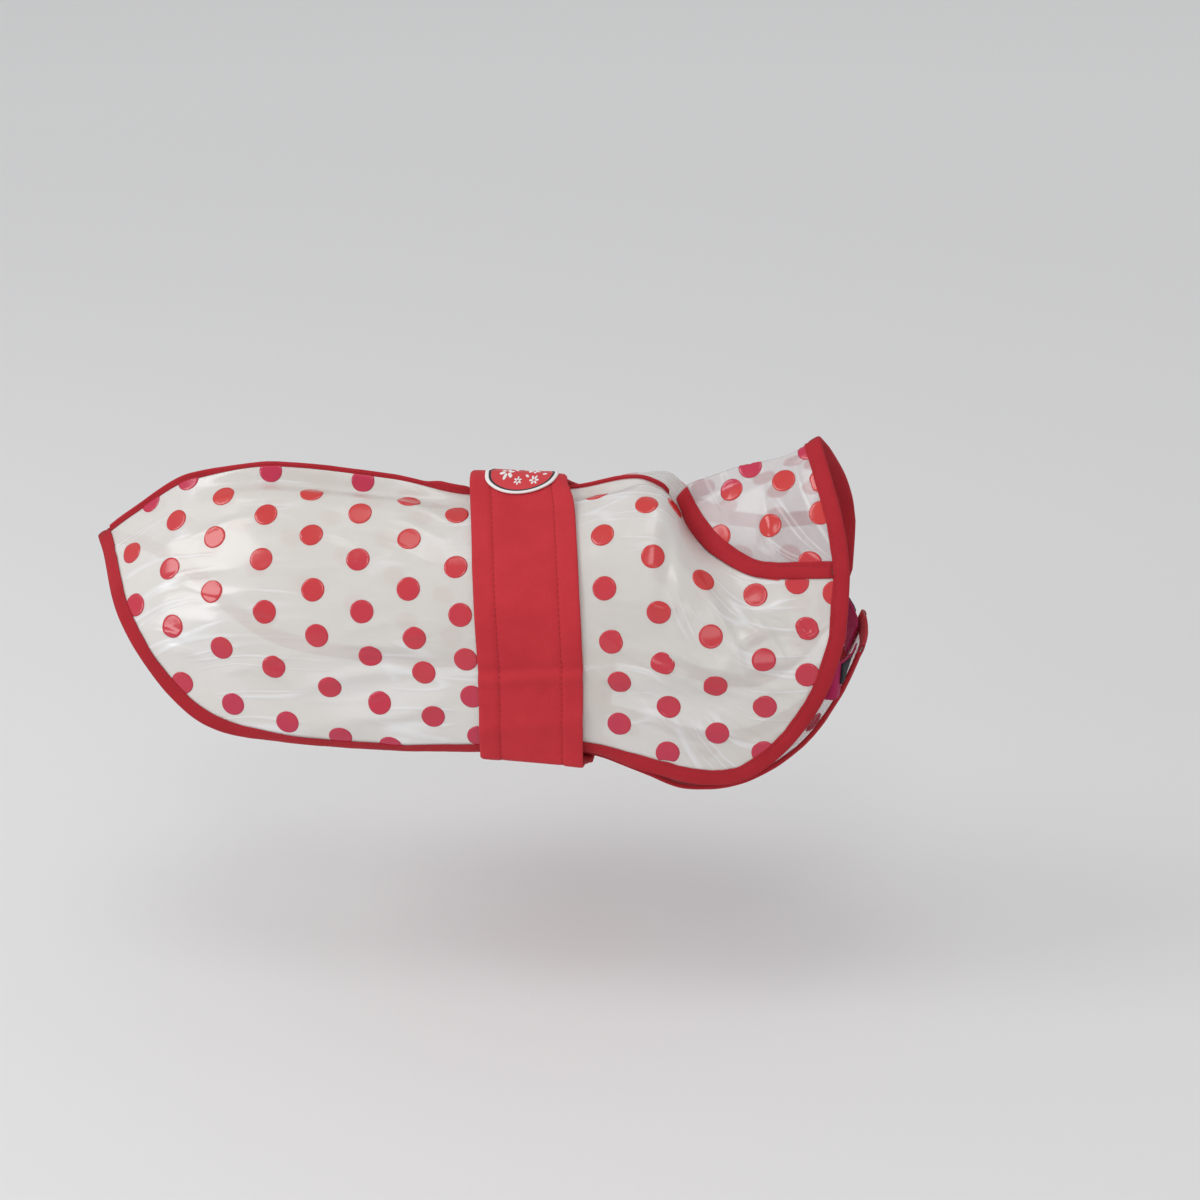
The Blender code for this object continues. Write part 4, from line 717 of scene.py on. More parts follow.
def clothMaterial(name, light, dark, roughness, pitch, slant):
    # woven cloth in its own map: two sets of threads, and a slightly uneven dye
    look = clothLook
    material, tree, shader = newMaterial(name, light, roughness, look["sheen"])
    place = newNode(tree, "TexCoord", {}).outputs
    turn = newNode(tree, "Mapping", {"Vector": place["UV"], "Rotation": (0, 0, math.radians(slant))})
    wave = {"Vector": turn.outputs["Vector"], "Scale": look["waves"] / pitch, **look["wave"]}
    threads = [newNode(tree, "TexWave", wave, wave_type="BANDS", bands_direction=direction).outputs["Fac"]
               for direction in ("X", "Y")]
    weave = newNode(tree, "Math", {0: threads[0], 1: threads[1]}, operation="MAXIMUM")
    bumpFrom(tree, shader, weave.outputs[0], *look["bump"])
    dye = newNode(tree, "TexNoise", {"Vector": place["Object"], **look["dye"]}).outputs["Fac"]
    rampColours(tree, shader, dye, zip(look["dyeRange"], (dark, light)))
    return material


def grainMaterial(name, colour, roughness, scale, strength, distance):
    material, tree, shader = newMaterial(name, colour, roughness)
    place = newNode(tree, "TexCoord", {}).outputs["Object"]
    grain = newNode(tree, "TexNoise", {"Vector": place, "Scale": scale})
    bumpFrom(tree, shader, grain.outputs["Fac"], strength, distance)
    return material


panelFilm = filmMaterial("clearVinylBody", (0.79, 0.76, 0.715), 0.66, 0.2)
collarFilm = filmMaterial("clearVinylCollar", (0.70, 0.635, 0.64), 0.36, 0.18)
# the second colour is painted shade on the ink
dotInk = inkMaterial("redInk", (0.62, 0.03, 0.026), (0.54, 0.012, 0.062))
tapeCloth = clothMaterial("redTapeCloth", (0.44, 0.018, 0.029), (0.39, 0.014, 0.023), 0.72, 0.55, 45)
beltCloth = clothMaterial("redBeltCloth", (0.56, 0.03, 0.042), (0.50, 0.024, 0.035), 0.66, 0.7, 0)
tabCloth = clothMaterial("berryTabCloth", (0.42, 0.012, 0.09), (0.36, 0.01, 0.075), 0.7, 0.6, 0)
thread = newMaterial("redThread", (0.40, 0.016, 0.026), 0.6)[0]
patchFuzz = grainMaterial("hookAndLoop", (0.022, 0.022, 0.026), 0.95, 1500.0, 0.9, 0.0008)
badgeWhite = grainMaterial("badgeWhite", (0.82, 0.80, 0.79), 0.55, 1400.0, 0.3, 0.0002)
badgeBlack = grainMaterial("badgeLine", (0.02, 0.02, 0.025), 0.6, 1400.0, 0.3, 0.0002)
badgeRed = grainMaterial("badgeRed", (0.60, 0.03, 0.04), 0.55, 1400.0, 0.3, 0.0002)
print("materials made")


def panelPlaces():
    # a grid of x and s that fills the outline: back seam, rear edge, hem and front edge
    rearShare, frontShare = cornerShares
    seam = resample(neckSeam, np.linspace(0, 1, 101))[:, 0]
    topX = np.r_[np.linspace(coat["tailX"], coat["neckX"], 300)[:-1], seam]
    topRun = runLength(np.column_stack([topX, *plainBody(topX, 0)]))
    topX = np.interp(np.linspace(0, 1, coat["along"] + 1), topRun / topRun[-1], topX)
    u = (topX - topX[0]) / (topX[-1] - topX[0])
    v = np.linspace(0, 1, coat["down"] + 1)
    top = np.column_stack([topX, np.zeros_like(topX)])
    rear = resample(outline, rearShare * v)
    hem = resample(outline, rearShare + u * (frontShare - rearShare))
    front = resample(outline, 1 - (1 - frontShare) * v)
    u, v = u[:, None, None], v[None, :, None]
    return ((1 - v) * top[:, None] + v * hem[:, None] + (1 - u) * rear[None] + u * front[None]
            - (1 - u) * (1 - v) * top[0] - u * (1 - v) * top[-1] - (1 - u) * v * hem[0] - u * v * hem[-1])


bodies = {side: bodySurface(side) for side in sideSign}
places = panelPlaces()
panels = {side: film(f"{side}_panel", bodies[side]["at"](*np.moveaxis(places, -1, 0)), places, coat["wall"],
                     panelFilm) for side in sideSign}
print("panels made")


dots = {
    "radius": 6.3, "proud": 0.33, "rimShare": 0.5, "spokes": 32,
    "rings": [0.0, 0.2, 0.4, 0.6, 0.78, 0.92, 1.0],
    "clear": 1.0, "least": 0.5,  # of the film's edge, and what stays of a cut dot
    # x, s of the middle of each dot on the right panel
    "right": [
        (-212, 27), (-204.5, 62), (-186.5, 24), (-185, 53), (-180.5, 85.5), (-176, 118.5), (-161, 16),
        (-161, 41.5), (-158, 72.5), (-152, 103.5), (-147.5, 136.5), (-137, 3), (-134, 31.5),
        (-132.5, 57.5), (-128, 85.5), (-123.5, 115.5), (-117.5, 147), (-111.5, 16.5), (-107, 42.5),
        (-102.5, 72.5), (-99.5, 96.5), (-93.5, 125), (-89, 153.5), (-86, 3.5), (-83, 27), (-80, 54),
        (-75.5, 81.5), (-71, 105.5), (-66.5, 131), (-62, 156.5), (-59, 13.5), (-54.5, 39), (-51.5, 66.5),
        (-47, 91.5), (-42.5, 110.5), (-38, 134.5), (-32, 18.5), (-27.5, 52), (-23, 77.5), (-20, 101.5),
        (-17, 122.5), (-14, 146), (41.5, 10.5), (48.5, 42), (52, 71.5), (56.5, 100), (61, 122.5),
        (61, 146.5), (70, 25.5), (76, 56), (80.5, 82.5), (83.5, 106.5), (86.5, 126), (86.5, 151.5),
        (83.5, 13.5), (101.5, 25.5), (107.5, 48), (110.5, 70.5), (112, 96), (113, 122), (128.5, 9.5),
        (134.5, 42), (136, 67.5), (136, 93), (149.5, 1.5), (155.5, 25.5), (157, 49.5), (169, 7.5),
        (-206, 0.4), (-184, 0.3),
    ],
    "shift": (12.5, 13.0),  # of the same dots on the left, where they go on behind the middle
    "behind": [(-222, 30), (-206, 7), (-129, 3), (-30, 5)],
    "topGap": 5, "hemGap": 3, "lowest": 156, "foremost": 170,
}


def insideRadius(at, spokes):
    # how far a dot may reach each way before it meets the film's edge
    reach = np.full(spokes, dots["radius"])
    p, q = outline[:-1] - at, outline[1:] - at
    for k, angle in enumerate(ringAngles(spokes)):
        d = np.array([math.cos(angle), math.sin(angle)])
        sideP, sideQ = p[:, 0] * d[1] - p[:, 1] * d[0], q[:, 0] * d[1] - q[:, 1] * d[0]
        cross = sideP * sideQ < 0
        share = sideP[cross] / (sideP[cross] - sideQ[cross])
        ahead = (p[cross] + share[:, None] * (q[cross] - p[cross])) @ d
        limits = list(ahead[ahead > 0] - dots["clear"])
        if d[1] < 0:
            limits.append(at[1] / -d[1])
        if limits:
            reach[k] = min(reach[k], max(min(limits), dots["least"]))
    return reach


def dotPieces(name, surface, centres, reachOf=None):
    # a thin disc for each dot: rings of points on both faces of the film, joined at the rim
    rings, spokes = dots["rings"], dots["spokes"]
    angles = ringAngles(spokes)
    circle = np.column_stack([np.cos(angles), np.sin(angles)])
    count = 1 + (len(rings) - 1) * spokes
    height = np.full(count, coat["wall"] / 2 + dots["proud"])
    height[-spokes:] *= dots["rimShare"]
    points, faces = [], []
    for a, b in centres:
        reach = np.full(spokes, dots["radius"]) if reachOf is None else reachOf(np.array([a, b]), spokes)
        a, b = np.array(float(a)), np.array(float(b))
        alongA, alongB = tangents(surface, a, b)
        e1 = unit(alongA)
        e2 = np.cross(outward(surface, a, b), e1)
        if e2 @ alongB < 0:
            e2 = -e2
        offsets = np.vstack([np.zeros((1, 2))] + [share * reach[:, None] * circle for share in rings[1:]])
        move = offsets[:, :1] * e1 + offsets[:, 1:] * e2
        pa, pb = step(surface, np.full(count, a), np.full(count, b), move)
        pb = np.maximum(pb, surface["low"][1])
        middle, out = surface["at"](pa, pb), height[:, None] * outward(surface, pa, pb)
        base = len(points)
        points += [*(middle + out), *(middle - out)]
        for k in range(spokes):
            m = (k + 1) % spokes
            for start, turn in ((base, 1), (base + count, -1)):
                faces.append([start, start + 1 + k, start + 1 + m][::turn])
                for i in start + 1 + np.arange(len(rings) - 2) * spokes:
                    faces.append([i + k, i + spokes + k, i + spokes + m, i + m][::turn])
            i = base + count - spokes
            faces.append([i + k, i + count + k, i + count + m, i + m])
    piece = addMesh(name, points, faces, dotInk)
    faceOut(piece)
    return piece


def onPanel(x, s):
    low = np.interp(x, *outline.T) if coat["tailX"] < x < dots["foremost"] else 0
    return s < min(low - dots["hemGap"], dots["lowest"])


shiftX, shiftS = dots["shift"]
dotsLeft = [(x + shiftX, s + shiftS) for x, s in dots["right"] if s > dots["topGap"]] + dots["behind"]
panelDots = {
    "right": dotPieces("dots_right", bodies["right"], dots["right"], insideRadius),
    "left": dotPieces("dots_left", bodies["left"], [at for at in dotsLeft if onPanel(*at)], insideRadius),
}
print("dots made")


stitch = {
    "length": 2.3, "pitch": 3.1, "radius": 0.21, "spokes": 6, "look": 0.8,
    # place along its half length, thickness, height over the cloth
    "along": [(-1.1, 0.12, -0.5), (-0.8, 0.85, 0.0), (0.0, 1.0, 0.3), (0.8, 0.85, 0.0), (1.1, 0.12, -0.5)],
}


def stitchShape():
    # a short thread lying on the cloth, round in section and sunk at both ends
    half, radius, spokes, rows = stitch["length"] / 2, stitch["radius"], stitch["spokes"], stitch["along"]
    points = [(p * half, r * radius * math.cos(angle), radius * (h + r * math.sin(angle)))
              for p, r, h in rows for angle in ringAngles(spokes)]
    faces = gridFaces(len(rows), spokes, ring=True).reshape(-1, 4).tolist()
    ends = (0, (len(rows) - 1) * spokes)
    caps = [[k, k + 1, k + 2, k + 3] for k in ends] + [[k, k + 3, k + 4, k + 5] for k in ends]
    return np.array(points), faces + caps


stitchPoints, stitchFaces = stitchShape()


def stitchLine(name, points, out):
    # stitches at an even pitch along a line of points with the cloth's outward directions
    length = runLength(points)
    count = max(int(length[-1] / stitch["pitch"]), 1)
    at = (np.arange(count) + 0.5) * length[-1] / count
    lift = unit(curveAt(out, length, at))
    run = curveAt(points, length, at + stitch["look"]) - curveAt(points, length, at - stitch["look"])
    run = unit(run - (run * lift).sum(-1, keepdims=True) * lift)
    return copies(name, stitchPoints, stitchFaces, curveAt(points, length, at), run, lift, thread)


tape = {
    "width": 8.0, "station": 2.4, "stitchIn": 6.3, "stitchUp": 0.82, "uneven": 0.028, "puff": 0.09,
    # in from the film's edge, height above the film's middle
    "outside": [
        (8.05, 0.52), (7.9, 0.92), (7.4, 1.02), (6.8, 0.94), (6.3, 0.8), (5.8, 0.98), (5.0, 1.2),
        (3.8, 1.36), (2.4, 1.4), (1.0, 1.32), (0.0, 1.12), (-0.55, 0.72), (-0.82, 0.0),
    ],
    "inside": [(-0.3, 0.0), (0.0, 0.4), (2.0, 0.72), (4.0, 0.62), (6.3, 0.3), (7.8, 0.3)],
}


def tapeProfile():
    outside, inside = np.array(tape["outside"]), np.array(tape["inside"])
    return np.vstack([outside, outside[::-1][1:] * (1, -1), inside[::-1][:-1] * (1, -1), inside])


def tapeRings(surface, edge, far, seed):
    # tape sections from the film's edge places and the tape's own free edge places
    d, h = tapeProfile().T
    edgePoint, edgeOut = surface["at"](*edge.T), outward(surface, *edge.T)
    along = runLength(edgePoint)
    wide = 1 + noiseAlong(along, seed, tape["uneven"])
    puff = 1 + noiseAlong(along, seed + 5, tape["puff"])
    share = np.clip(d, 0, None)[None] / tape["width"] * wide[:, None]
    a = edge[:, :1] + (far - edge)[:, :1] * share
    b = np.maximum(edge[:, 1:] + (far - edge)[:, 1:] * share, surface["low"][1])
    inward = surface["at"](*far.T) - edgePoint
    inward = unit(inward - (inward * edgeOut).sum(-1, keepdims=True) * edgeOut)
    over = np.clip(-d, 0, None)[None, :, None] * inward[:, None]
    return surface["at"](a, b) + (h[None] * puff[:, None])[..., None] * outward(surface, a, b) - over


def tapeStitches(name, surface, edge, far):
    a, b = (edge + (far - edge) * tape["stitchIn"] / tape["width"]).T
    b = np.maximum(b, surface["low"][1])
    middle, out = surface["at"](a, b), outward(surface, a, b)
    return [stitchLine(f"{name}_{k}", middle + sign * tape["stitchUp"] * out, sign * out)
            for k, sign in (("a", 1), ("b", -1))]


def tapePiece(name, rings):
    profile = tapeProfile()
    around = runLength(np.vstack([profile, profile[:1]]))
    return loft(name, rings, runLength(rings.mean(axis=1)), around, tapeCloth)


def tapeAlong(surface, line, turnedIn):
    # edge places along a line of places, evenly spaced in space, and the free edge's places
    edge = evenPlaces(surface, line, tape["station"])
    run = unit(np.gradient(surface["at"](*edge.T), axis=0))
    inward = turnedIn * np.cross(run, outward(surface, *edge.T))
    return edge, np.column_stack(step(surface, *edge.T, tape["width"] * inward))


edgeTape = {
    "turnOver": 5, "tailTurn": 6.4, "neckTurn": -7.8,  # at both ends it turns to lie along the back
    "archCount": 44, "archDeepest": -0.45,
    "apart": 0.1,  # of the middle, at both ends
}


def startOnPlane(rings, planeY, steepest=0.05, reach=(-4, 0.8)):
    # slides the first section along the tape until it lies in the plane y = planeY
    run = rings[1] - rings[0]
    across = np.where(np.abs(run[:, 1]) < steepest, steepest, run[:, 1])
    rings[0] += np.clip((planeY - rings[0][:, 1]) / across, *reach)[:, None] * run


bindings, seams = {}, {}
for side, sign in sideSign.items():
    surface = bodies[side]
    edge, far = tapeAlong(surface, outline, sign)
    turned = 1 - ramp(np.arange(len(edge)), 0, edgeTape["turnOver"])[:, None]
    far[:, 1] = np.maximum(far[:, 1], 0)
    far = far * (1 - turned) + (edge + (edgeTape["tailTurn"], 0)) * turned
    far = far * (1 - turned[::-1]) + (edge + (edgeTape["neckTurn"], 0)) * turned[::-1]
    around = sign * np.linspace(collar["tapeEnd"], 0.0, edgeTape["archCount"])
    archEdge = np.column_stack([around, np.ones_like(around)])
    tiny = 0.01
    inset = (1 - np.clip(collarInset(around, False, tiny), 0, 1)) / tiny * tape["width"]
    archFar = np.column_stack([around, np.maximum(1 - inset, edgeTape["archDeepest"])])
    rings = np.concatenate([tapeRings(surface, edge, far, 1.0 + sign),
                            tapeRings(collarSurface, archEdge, archFar, 4.0 + sign)])
    startOnPlane(rings, sign * edgeTape["apart"])
    rings[-1][:, 1] = sign * edgeTape["apart"]
    bindings[side] = tapePiece(f"{side}_edge_tape", rings)
    seams[side] = joined(f"edge_stitches_{side}", tapeStitches("body", surface, edge, far)
                         + tapeStitches("arch", collarSurface, archEdge, archFar))
print("edge tapes made")


fin = {  # the back seam's tape, which stands up as a narrow fin
    "half": 1.15, "from": 6.0, "to": 3.2, "station": 2.4, "sunk": 0.4, "round": 1.1, "stitchUp": 1.3,
    # x, height over the seam
    "heights": [
        (-242, 2.6), (-226, 3.6), (-190, 3.6), (-150, 1.9), (-54, 1.9), (-43, 4.4), (-31, 4.4),
        (-24, 1.9), (60, 1.9), (80, 3.1),
    ],
    "roughTop": 0.12, "sway": 0.35, "swayFrom": (1.0, 5.0), "stitchSway": 0.3, "stitchOut": 0.98,
    # y on the right, share of the height: its foot outside and its hollow inside
    "foot": [(-1.5, 0.0), (-1.15, 0.22), (-1.0, 0.42)],
    "hollow": [(0.95, 0.0), (0.6, 0.25), (0.45, 0.45)], "hollowTop": 0.55,
}
finX = np.arange(coat["tailX"] + fin["from"], coat["neckX"] - fin["to"], fin["station"])
finLow = plainBody(finX, 0)[1] - fin["sunk"]
finHigh = finLow + fin["sunk"] + smoothColumns(fin["heights"], finX)[:, 0]
finHigh += noiseAlong(finX, 3.0, fin["roughTop"])
finSway = noiseAlong(finX, 2.0, fin["sway"])
finRings = []
for x, low, high, sway in zip(finX, finLow, finHigh, finSway):
    arc = [(fin["half"] * math.cos(a), high + fin["round"] * (math.sin(a) - 1))
           for a in np.linspace(math.pi, 0, 9)]
    foot = [(y, low + share * (high - low)) for y, share in fin["foot"]]
    hollow = [(y, low + share * (high - low)) for y, share in fin["hollow"]]
    hollow.append((0.0, high - fin["hollowTop"]))
    profile = foot + arc + [(-y, z) for y, z in foot[::-1]] + hollow + [(-y, z) for y, z in hollow[-2::-1]]
    finRings.append([(x, y + sway * ramp(z - low, *fin["swayFrom"]), z) for y, z in profile])
finRings = np.array(finRings)
finAround = runLength(np.vstack([finRings[0][:, 1:], finRings[0][:1, 1:]]))
spineBinding = loft("back_seam_tape", finRings, finX - finX[0], finAround, tapeCloth)
finLines = []
for k, sign in (("a", -1), ("b", 1)):
    line = [finX, sign * fin["stitchOut"] + finSway * fin["stitchSway"], finLow + fin["stitchUp"]]
    line = np.column_stack(line)
    finLines.append(stitchLine(f"fin_{k}", line, np.broadcast_to([0.0, sign, 0.0], line.shape)))
spineStitches = joined("spine_stitches", finLines)
print("back seam tape made")


around = np.linspace(-collar["end"], collar["end"], collar["across"] + 1)[:, None]
foot = collarFoot(around[:, 0])[:, None]
ahead = foot + (1 - foot) * np.linspace(0, 1, collar["ahead"] + 1)[None]
around = np.broadcast_to(around, ahead.shape)
mapping = collar["mapSize"] * np.stack([around, ahead], axis=-1)
collarPiece = film("neck_collar", collarPoint(around, ahead), mapping, collar["wall"], collarFilm)

# the collar's tape runs straight ahead from its lower edge in the middle, and square to it at the sides
around, near = np.linspace(-collar["tapeEnd"], collar["tapeEnd"], collar["tapeCount"]), 0.01
before, after = (collarPoint(around + k, collarFoot(around + k)) for k in (-near, near))
edge = np.column_stack([around, collarFoot(around)])
straight = np.column_stack([around, collarFoot(around, tape["width"])])
inward = unit(np.cross(unit(after - before), outward(collarSurface, *edge.T)))
ahead = collarPoint(around, edge[:, 1] + 0.1) - collarPoint(*edge.T)
inward = inward * np.sign((inward * ahead).sum(-1, keepdims=True))
square = np.column_stack(step(collarSurface, *edge.T, tape["width"] * inward))
turn = np.clip((np.abs(around) - collar["squareFrom"]) / collar["squareBy"], 0, 1)[:, None]
far = (1 - turn) * straight + turn * square
collarBinding = tapePiece("collar_tape", tapeRings(collarSurface, edge, far, 7.0))
collarStitches = joined("collar_stitches", tapeStitches("collar", collarSurface, edge, far))


def collarReach(at, spokes, steepest=0.15, least=0.4):
    # dots stop short of the collar's lower and front edges
    around, ahead = at
    span = np.linalg.norm(collarPoint(around, 1.0) - collarPoint(around, 0.0))
    room = min(1 - ahead, ahead - float(collarFoot(around))) * span
    slope = np.maximum(np.abs(np.sin(ringAngles(spokes))), steepest)
    return np.clip(np.minimum(dots["radius"], room / slope), least, None)


collarDots = dotPieces("dots_collar", collarSurface, collar["dots"], collarReach)
print("collar made")


belt = {
    "stand": 1.9, "crestZ": 11.0, "crestReach": 19.0,
    "overTape": 1.65, "overTapeFrom": 22, "overTapeBy": 14,  # it rises over the hem's tape
    "hemZ": -120.2, "turnZ": -125.4, "bellyZ": -137.5, "bellyFlat": 36.0, "overlap": 30.0, "layer": 3.3,
    "rows": [4.0, 9.0, 16.0, 26.0], "rowsBelow": 11,
    # distance inward, distance down from where it turns under
    "turn": [(0.7, 0.0), (3.8, 2.3), (9.6, 3.6)],
    # how far its front edge is drawn back, at the crest and just beyond it on the left, and their reach
    "pulled": (3.4, 9.5), "pulledReach": (11, 18),
    # distance from the middle, half thickness
    "section": [
        (0.0, 0.5), (6.0, 0.5), (12.0, 0.5), (15.2, 0.46), (16.0, 0.26), (16.5, 0.16), (17.0, 0.36),
        (17.8, 0.72), (20.0, 0.8), (23.0, 0.8), (25.5, 0.78), (26.8, 0.66), (27.35, 0.4),
    ],
    "rim": 0.3, "stitchAt": 16.5, "stitchUp": 0.3,
    # height z, lean with the offset, half width, height, side
    "waves": [
        (-73, 0.10, 2.6, -0.9, -1), (-78.5, 0.10, 3.0, 0.8, -1), (-28, -0.15, 5.0, 0.5, -1),
        (-104, 0.20, 4.0, 0.6, -1), (-66, -0.12, 2.8, -0.9, 1), (-71, -0.12, 3.2, 0.7, 1),
        (-36, 0.10, 5.0, 0.5, 1), (-98, -0.2, 4.0, 0.6, 1),
    ],
    "waveFrom": (20, 40),
    "patchHalf": (20, 26), "patchUnder": 1.65, "patchWall": 1.1,
}
beltHem = sAtHeight(beltPath["lean"], belt["hemZ"])


def beltStand(x, s, hem):
    overFin = (belt["crestZ"] - plainBody(x, 0)[1] - belt["stand"]) * np.exp(-(s / belt["crestReach"])**2)
    overTape = np.clip((s - (hem - belt["overTapeFrom"])) / belt["overTapeBy"], 0, 1)
    return belt["stand"] + overFin + belt["overTape"] * overTape


def sectionOut(x, s, near=2):
    above, below = (np.stack(plainBody(x, at), axis=-1) for at in (np.maximum(s - near, 0), s + near))
    run = unit(below - above)
    return np.stack([-run[..., 1], run[..., 0]], axis=-1)


def beltSide(side, offset, bellyZ):
    sign = sideSign[side]
    share = (max(offset, 0) / beltPath["half"])**2
    (atCrest, beyond), (crestReach, beyondReach) = belt["pulled"], belt["pulledReach"]
    rows = [(offset - atCrest * share, 0.0, belt["crestZ"])]
    for s in [*belt["rows"], *np.linspace(belt["rows"][-1], beltHem, belt["rowsBelow"] + 1)[1:]]:
        pulled = atCrest * math.exp(-(s / crestReach)**2)
        if side == "left":
            pulled += beyond * s / beyondReach * math.exp(0.5 - 0.5 * (s / beyondReach)**2)
        x = float(beltCentre(s)) + offset - pulled * share
        y, z = np.array(plainBody(x, s)) + beltStand(x, s, beltHem) * sectionOut(x, s)
        rows.append((x, sign * y, z))
    x, lowY, turnZ = beltPath["lean"] + offset, abs(rows[-1][1]), belt["turnZ"] - belt["bellyZ"] + bellyZ
    rows += [(x, sign * (lowY - inward), turnZ - down) for inward, down in belt["turn"]]
    return rows + [(x, sign * belt["bellyFlat"], bellyZ)]


def beltColumn(offset):
    # a line along the belt, from its right end under the belly over the back to its left end below that
    x, over, under = beltPath["lean"] + offset, belt["bellyZ"], belt["bellyZ"] - belt["layer"]
    start = [(x, y, over) for y in np.linspace(belt["overlap"], -belt["bellyFlat"], 6)[:-1]]
    end = [(x, y, under) for y in np.linspace(belt["bellyFlat"], -belt["overlap"], 6)[1:]]
    right, left = beltSide("right", offset, over), beltSide("left", offset, under)
    return np.array(start + right[::-1] + left[1:] + end)


half = np.array(belt["section"])
offsets, thick = np.concatenate([half[:0:-1] * (-1, 1), half]).T
beltRows = np.stack([beltColumn(o) for o in offsets], axis=1)
beltRows = smoothCurve(beltRows.reshape(len(beltRows), -1), 7).reshape(-1, len(offsets), 3)
beltOut = unit(np.cross(np.gradient(beltRows, axis=0), np.gradient(beltRows, axis=1)))
middle = len(offsets) // 2
beltOut *= np.sign(beltOut[len(beltRows) // 2, middle, 2])
lift = np.zeros(beltRows.shape[:2])
for z, lean, width, height, which in belt["waves"]:
    off = (beltRows[..., 2] - z - lean * offsets[None]) / width
    lift += height * np.exp(-off * off) * ramp(which * beltRows[..., 1], *belt["waveFrom"])
beltRows = beltRows + lift[..., None] * beltOut
top, bottom = (beltRows + sign * thick[None, :, None] * beltOut for sign in (1, -1))
front, rear = (beltRows[:, [k]] + belt["rim"] * unit(beltRows[:, [k]] - beltRows[:, [m]])
               for k, m in ((-1, -2), (0, 1)))
beltRings = np.concatenate([top, front, bottom[:, ::-1], rear], axis=1)
beltAround = runLength(np.vstack([beltRings[0], beltRings[0][:1]]))
beltPiece = loft("waist_belt", beltRings, runLength(beltRows[:, middle]), beltAround, beltCloth)
beltLines = []
for k, at in enumerate((-belt["stitchAt"], belt["stitchAt"])):
    column = int(np.argmin(np.abs(offsets - at)))
    for j, sign in enumerate((1, -1)):
        line, out = beltRows[:, column], sign * beltOut[:, column]
        beltLines.append(stitchLine(f"belt_{k}_{j}", line + belt["stitchUp"] * out, out))
beltStitches = joined("belt_stitches", beltLines)

halfX, halfY = belt["patchHalf"]
patchX, patchY = np.meshgrid(beltPath["lean"] + np.linspace(-halfX, halfX, 21),
                             np.linspace(-halfY, halfY, 27), indexing="ij")
patchGrid = np.stack([patchX, patchY, np.full(patchX.shape, belt["bellyZ"] - belt["patchUnder"])], axis=-1)
closurePatch = film("belt_patch", patchGrid, patchGrid[..., :2], belt["patchWall"], patchFuzz)
print("belt made")


badge = {  # an oval of printed cloth with a raised rim
    "radii": (19.6, 12.2), "stand": 1.55, "spokes": 64, "crestBy": 4, "near": 1.5,
    # share of the radius, height, material of the ring outside it: 0 is white, 1 black and 2 red
    "rings": [
        (0.0, 0.30, 2), (0.25, 0.30, 2), (0.5, 0.30, 2), (0.72, 0.30, 2), (0.84, 0.34, 1),
        (0.905, 0.42, 0), (0.925, 0.56, 0), (0.95, 0.6, 0), (0.98, 0.5, 0), (1.0, 0.2, 0),
        (0.995, -0.5, 0), (0.9, -0.6, 0), (0.5, -0.6, 0),
    ],
    # x, y of the middle, size and turn of each daisy
    "daisies": [(-7.6, -0.6, 1.0, 0.3), (6.2, 2.6, 0.86, 0.9), (7.8, -4.6, 0.62, 0.1),
                (-0.8, -5.2, 0.55, 0.5)],
    "petals": 6, "petalAt": 2.5, "petalHalf": (1.75, 0.95),
    # x, y of the middle, turn, half length, half width
    "leaves": [
        (-1.2, 5.6, 0.4, 1.5, 0.7), (0.9, 4.3, -0.6, 1.5, 0.7), (-11.9, 5.0, 2.2, 1.3, 0.6),
        (12.6, -0.9, 0.2, 1.3, 0.6), (-3.0, 2.6, 2.6, 1.2, 0.55), (3.6, -2.6, -0.5, 1.2, 0.55),
    ],
    "petalRows": [(0.0, 0.62), (0.55, 0.56), (0.85, 0.45), (1.0, 0.22)],  # share of its size, height
    "petalSpokes": 14,
}


def beltTop(x, y):
    s = np.abs(y)
    yz = np.stack(plainBody(x, s), axis=-1) + beltStand(x, s, coat["reach"])[..., None] * sectionOut(x, s)
    return np.stack([x, np.sign(y) * yz[..., 0] * np.clip(s / badge["crestBy"], 0, 1), yz[..., 1]], axis=-1)


def onBadge(x, y, height):
    x, y, near = np.asarray(x, float), np.asarray(y, float), badge["near"]
    ahead = beltTop(x + near, y) - beltTop(x - near, y)
    across = beltTop(x, y + near) - beltTop(x, y - near)
    return beltTop(x, y) + (badge["stand"] + np.asarray(height))[..., None] * unit(np.cross(ahead, across))


spokes, angles, (radiusX, radiusY) = badge["spokes"], ringAngles(badge["spokes"]), badge["radii"]
points, faces, which = [onBadge(0.0, 0.0, badge["rings"][0][1])], [], []
for share, height, _ in badge["rings"][1:]:
    points += list(onBadge(radiusX * share * np.cos(angles), radiusY * share * np.sin(angles), height))
points.append(onBadge(0.0, 0.0, badge["rings"][-1][1]))
for ring, (_, _, slot) in enumerate(badge["rings"]):
    i = 1 + (ring - 1) * spokes
    for k in range(spokes):
        m = (k + 1) % spokes
        if ring == 0:
            faces.append([0, 1 + k, 1 + m])
        elif ring == len(badge["rings"]) - 1:
            faces.append([i + k, len(points) - 1, i + m])
        else:
            faces.append([i + k, i + spokes + k, i + spokes + m, i + m])
        which.append(slot)
badgePiece = addMesh("belt_badge", points, faces, badgeWhite)
for material in (badgeBlack, badgeRed):
    badgePiece.data.materials.append(material)
badgePiece.data.polygons.foreach_set("material_index", which)
faceOut(badgePiece)


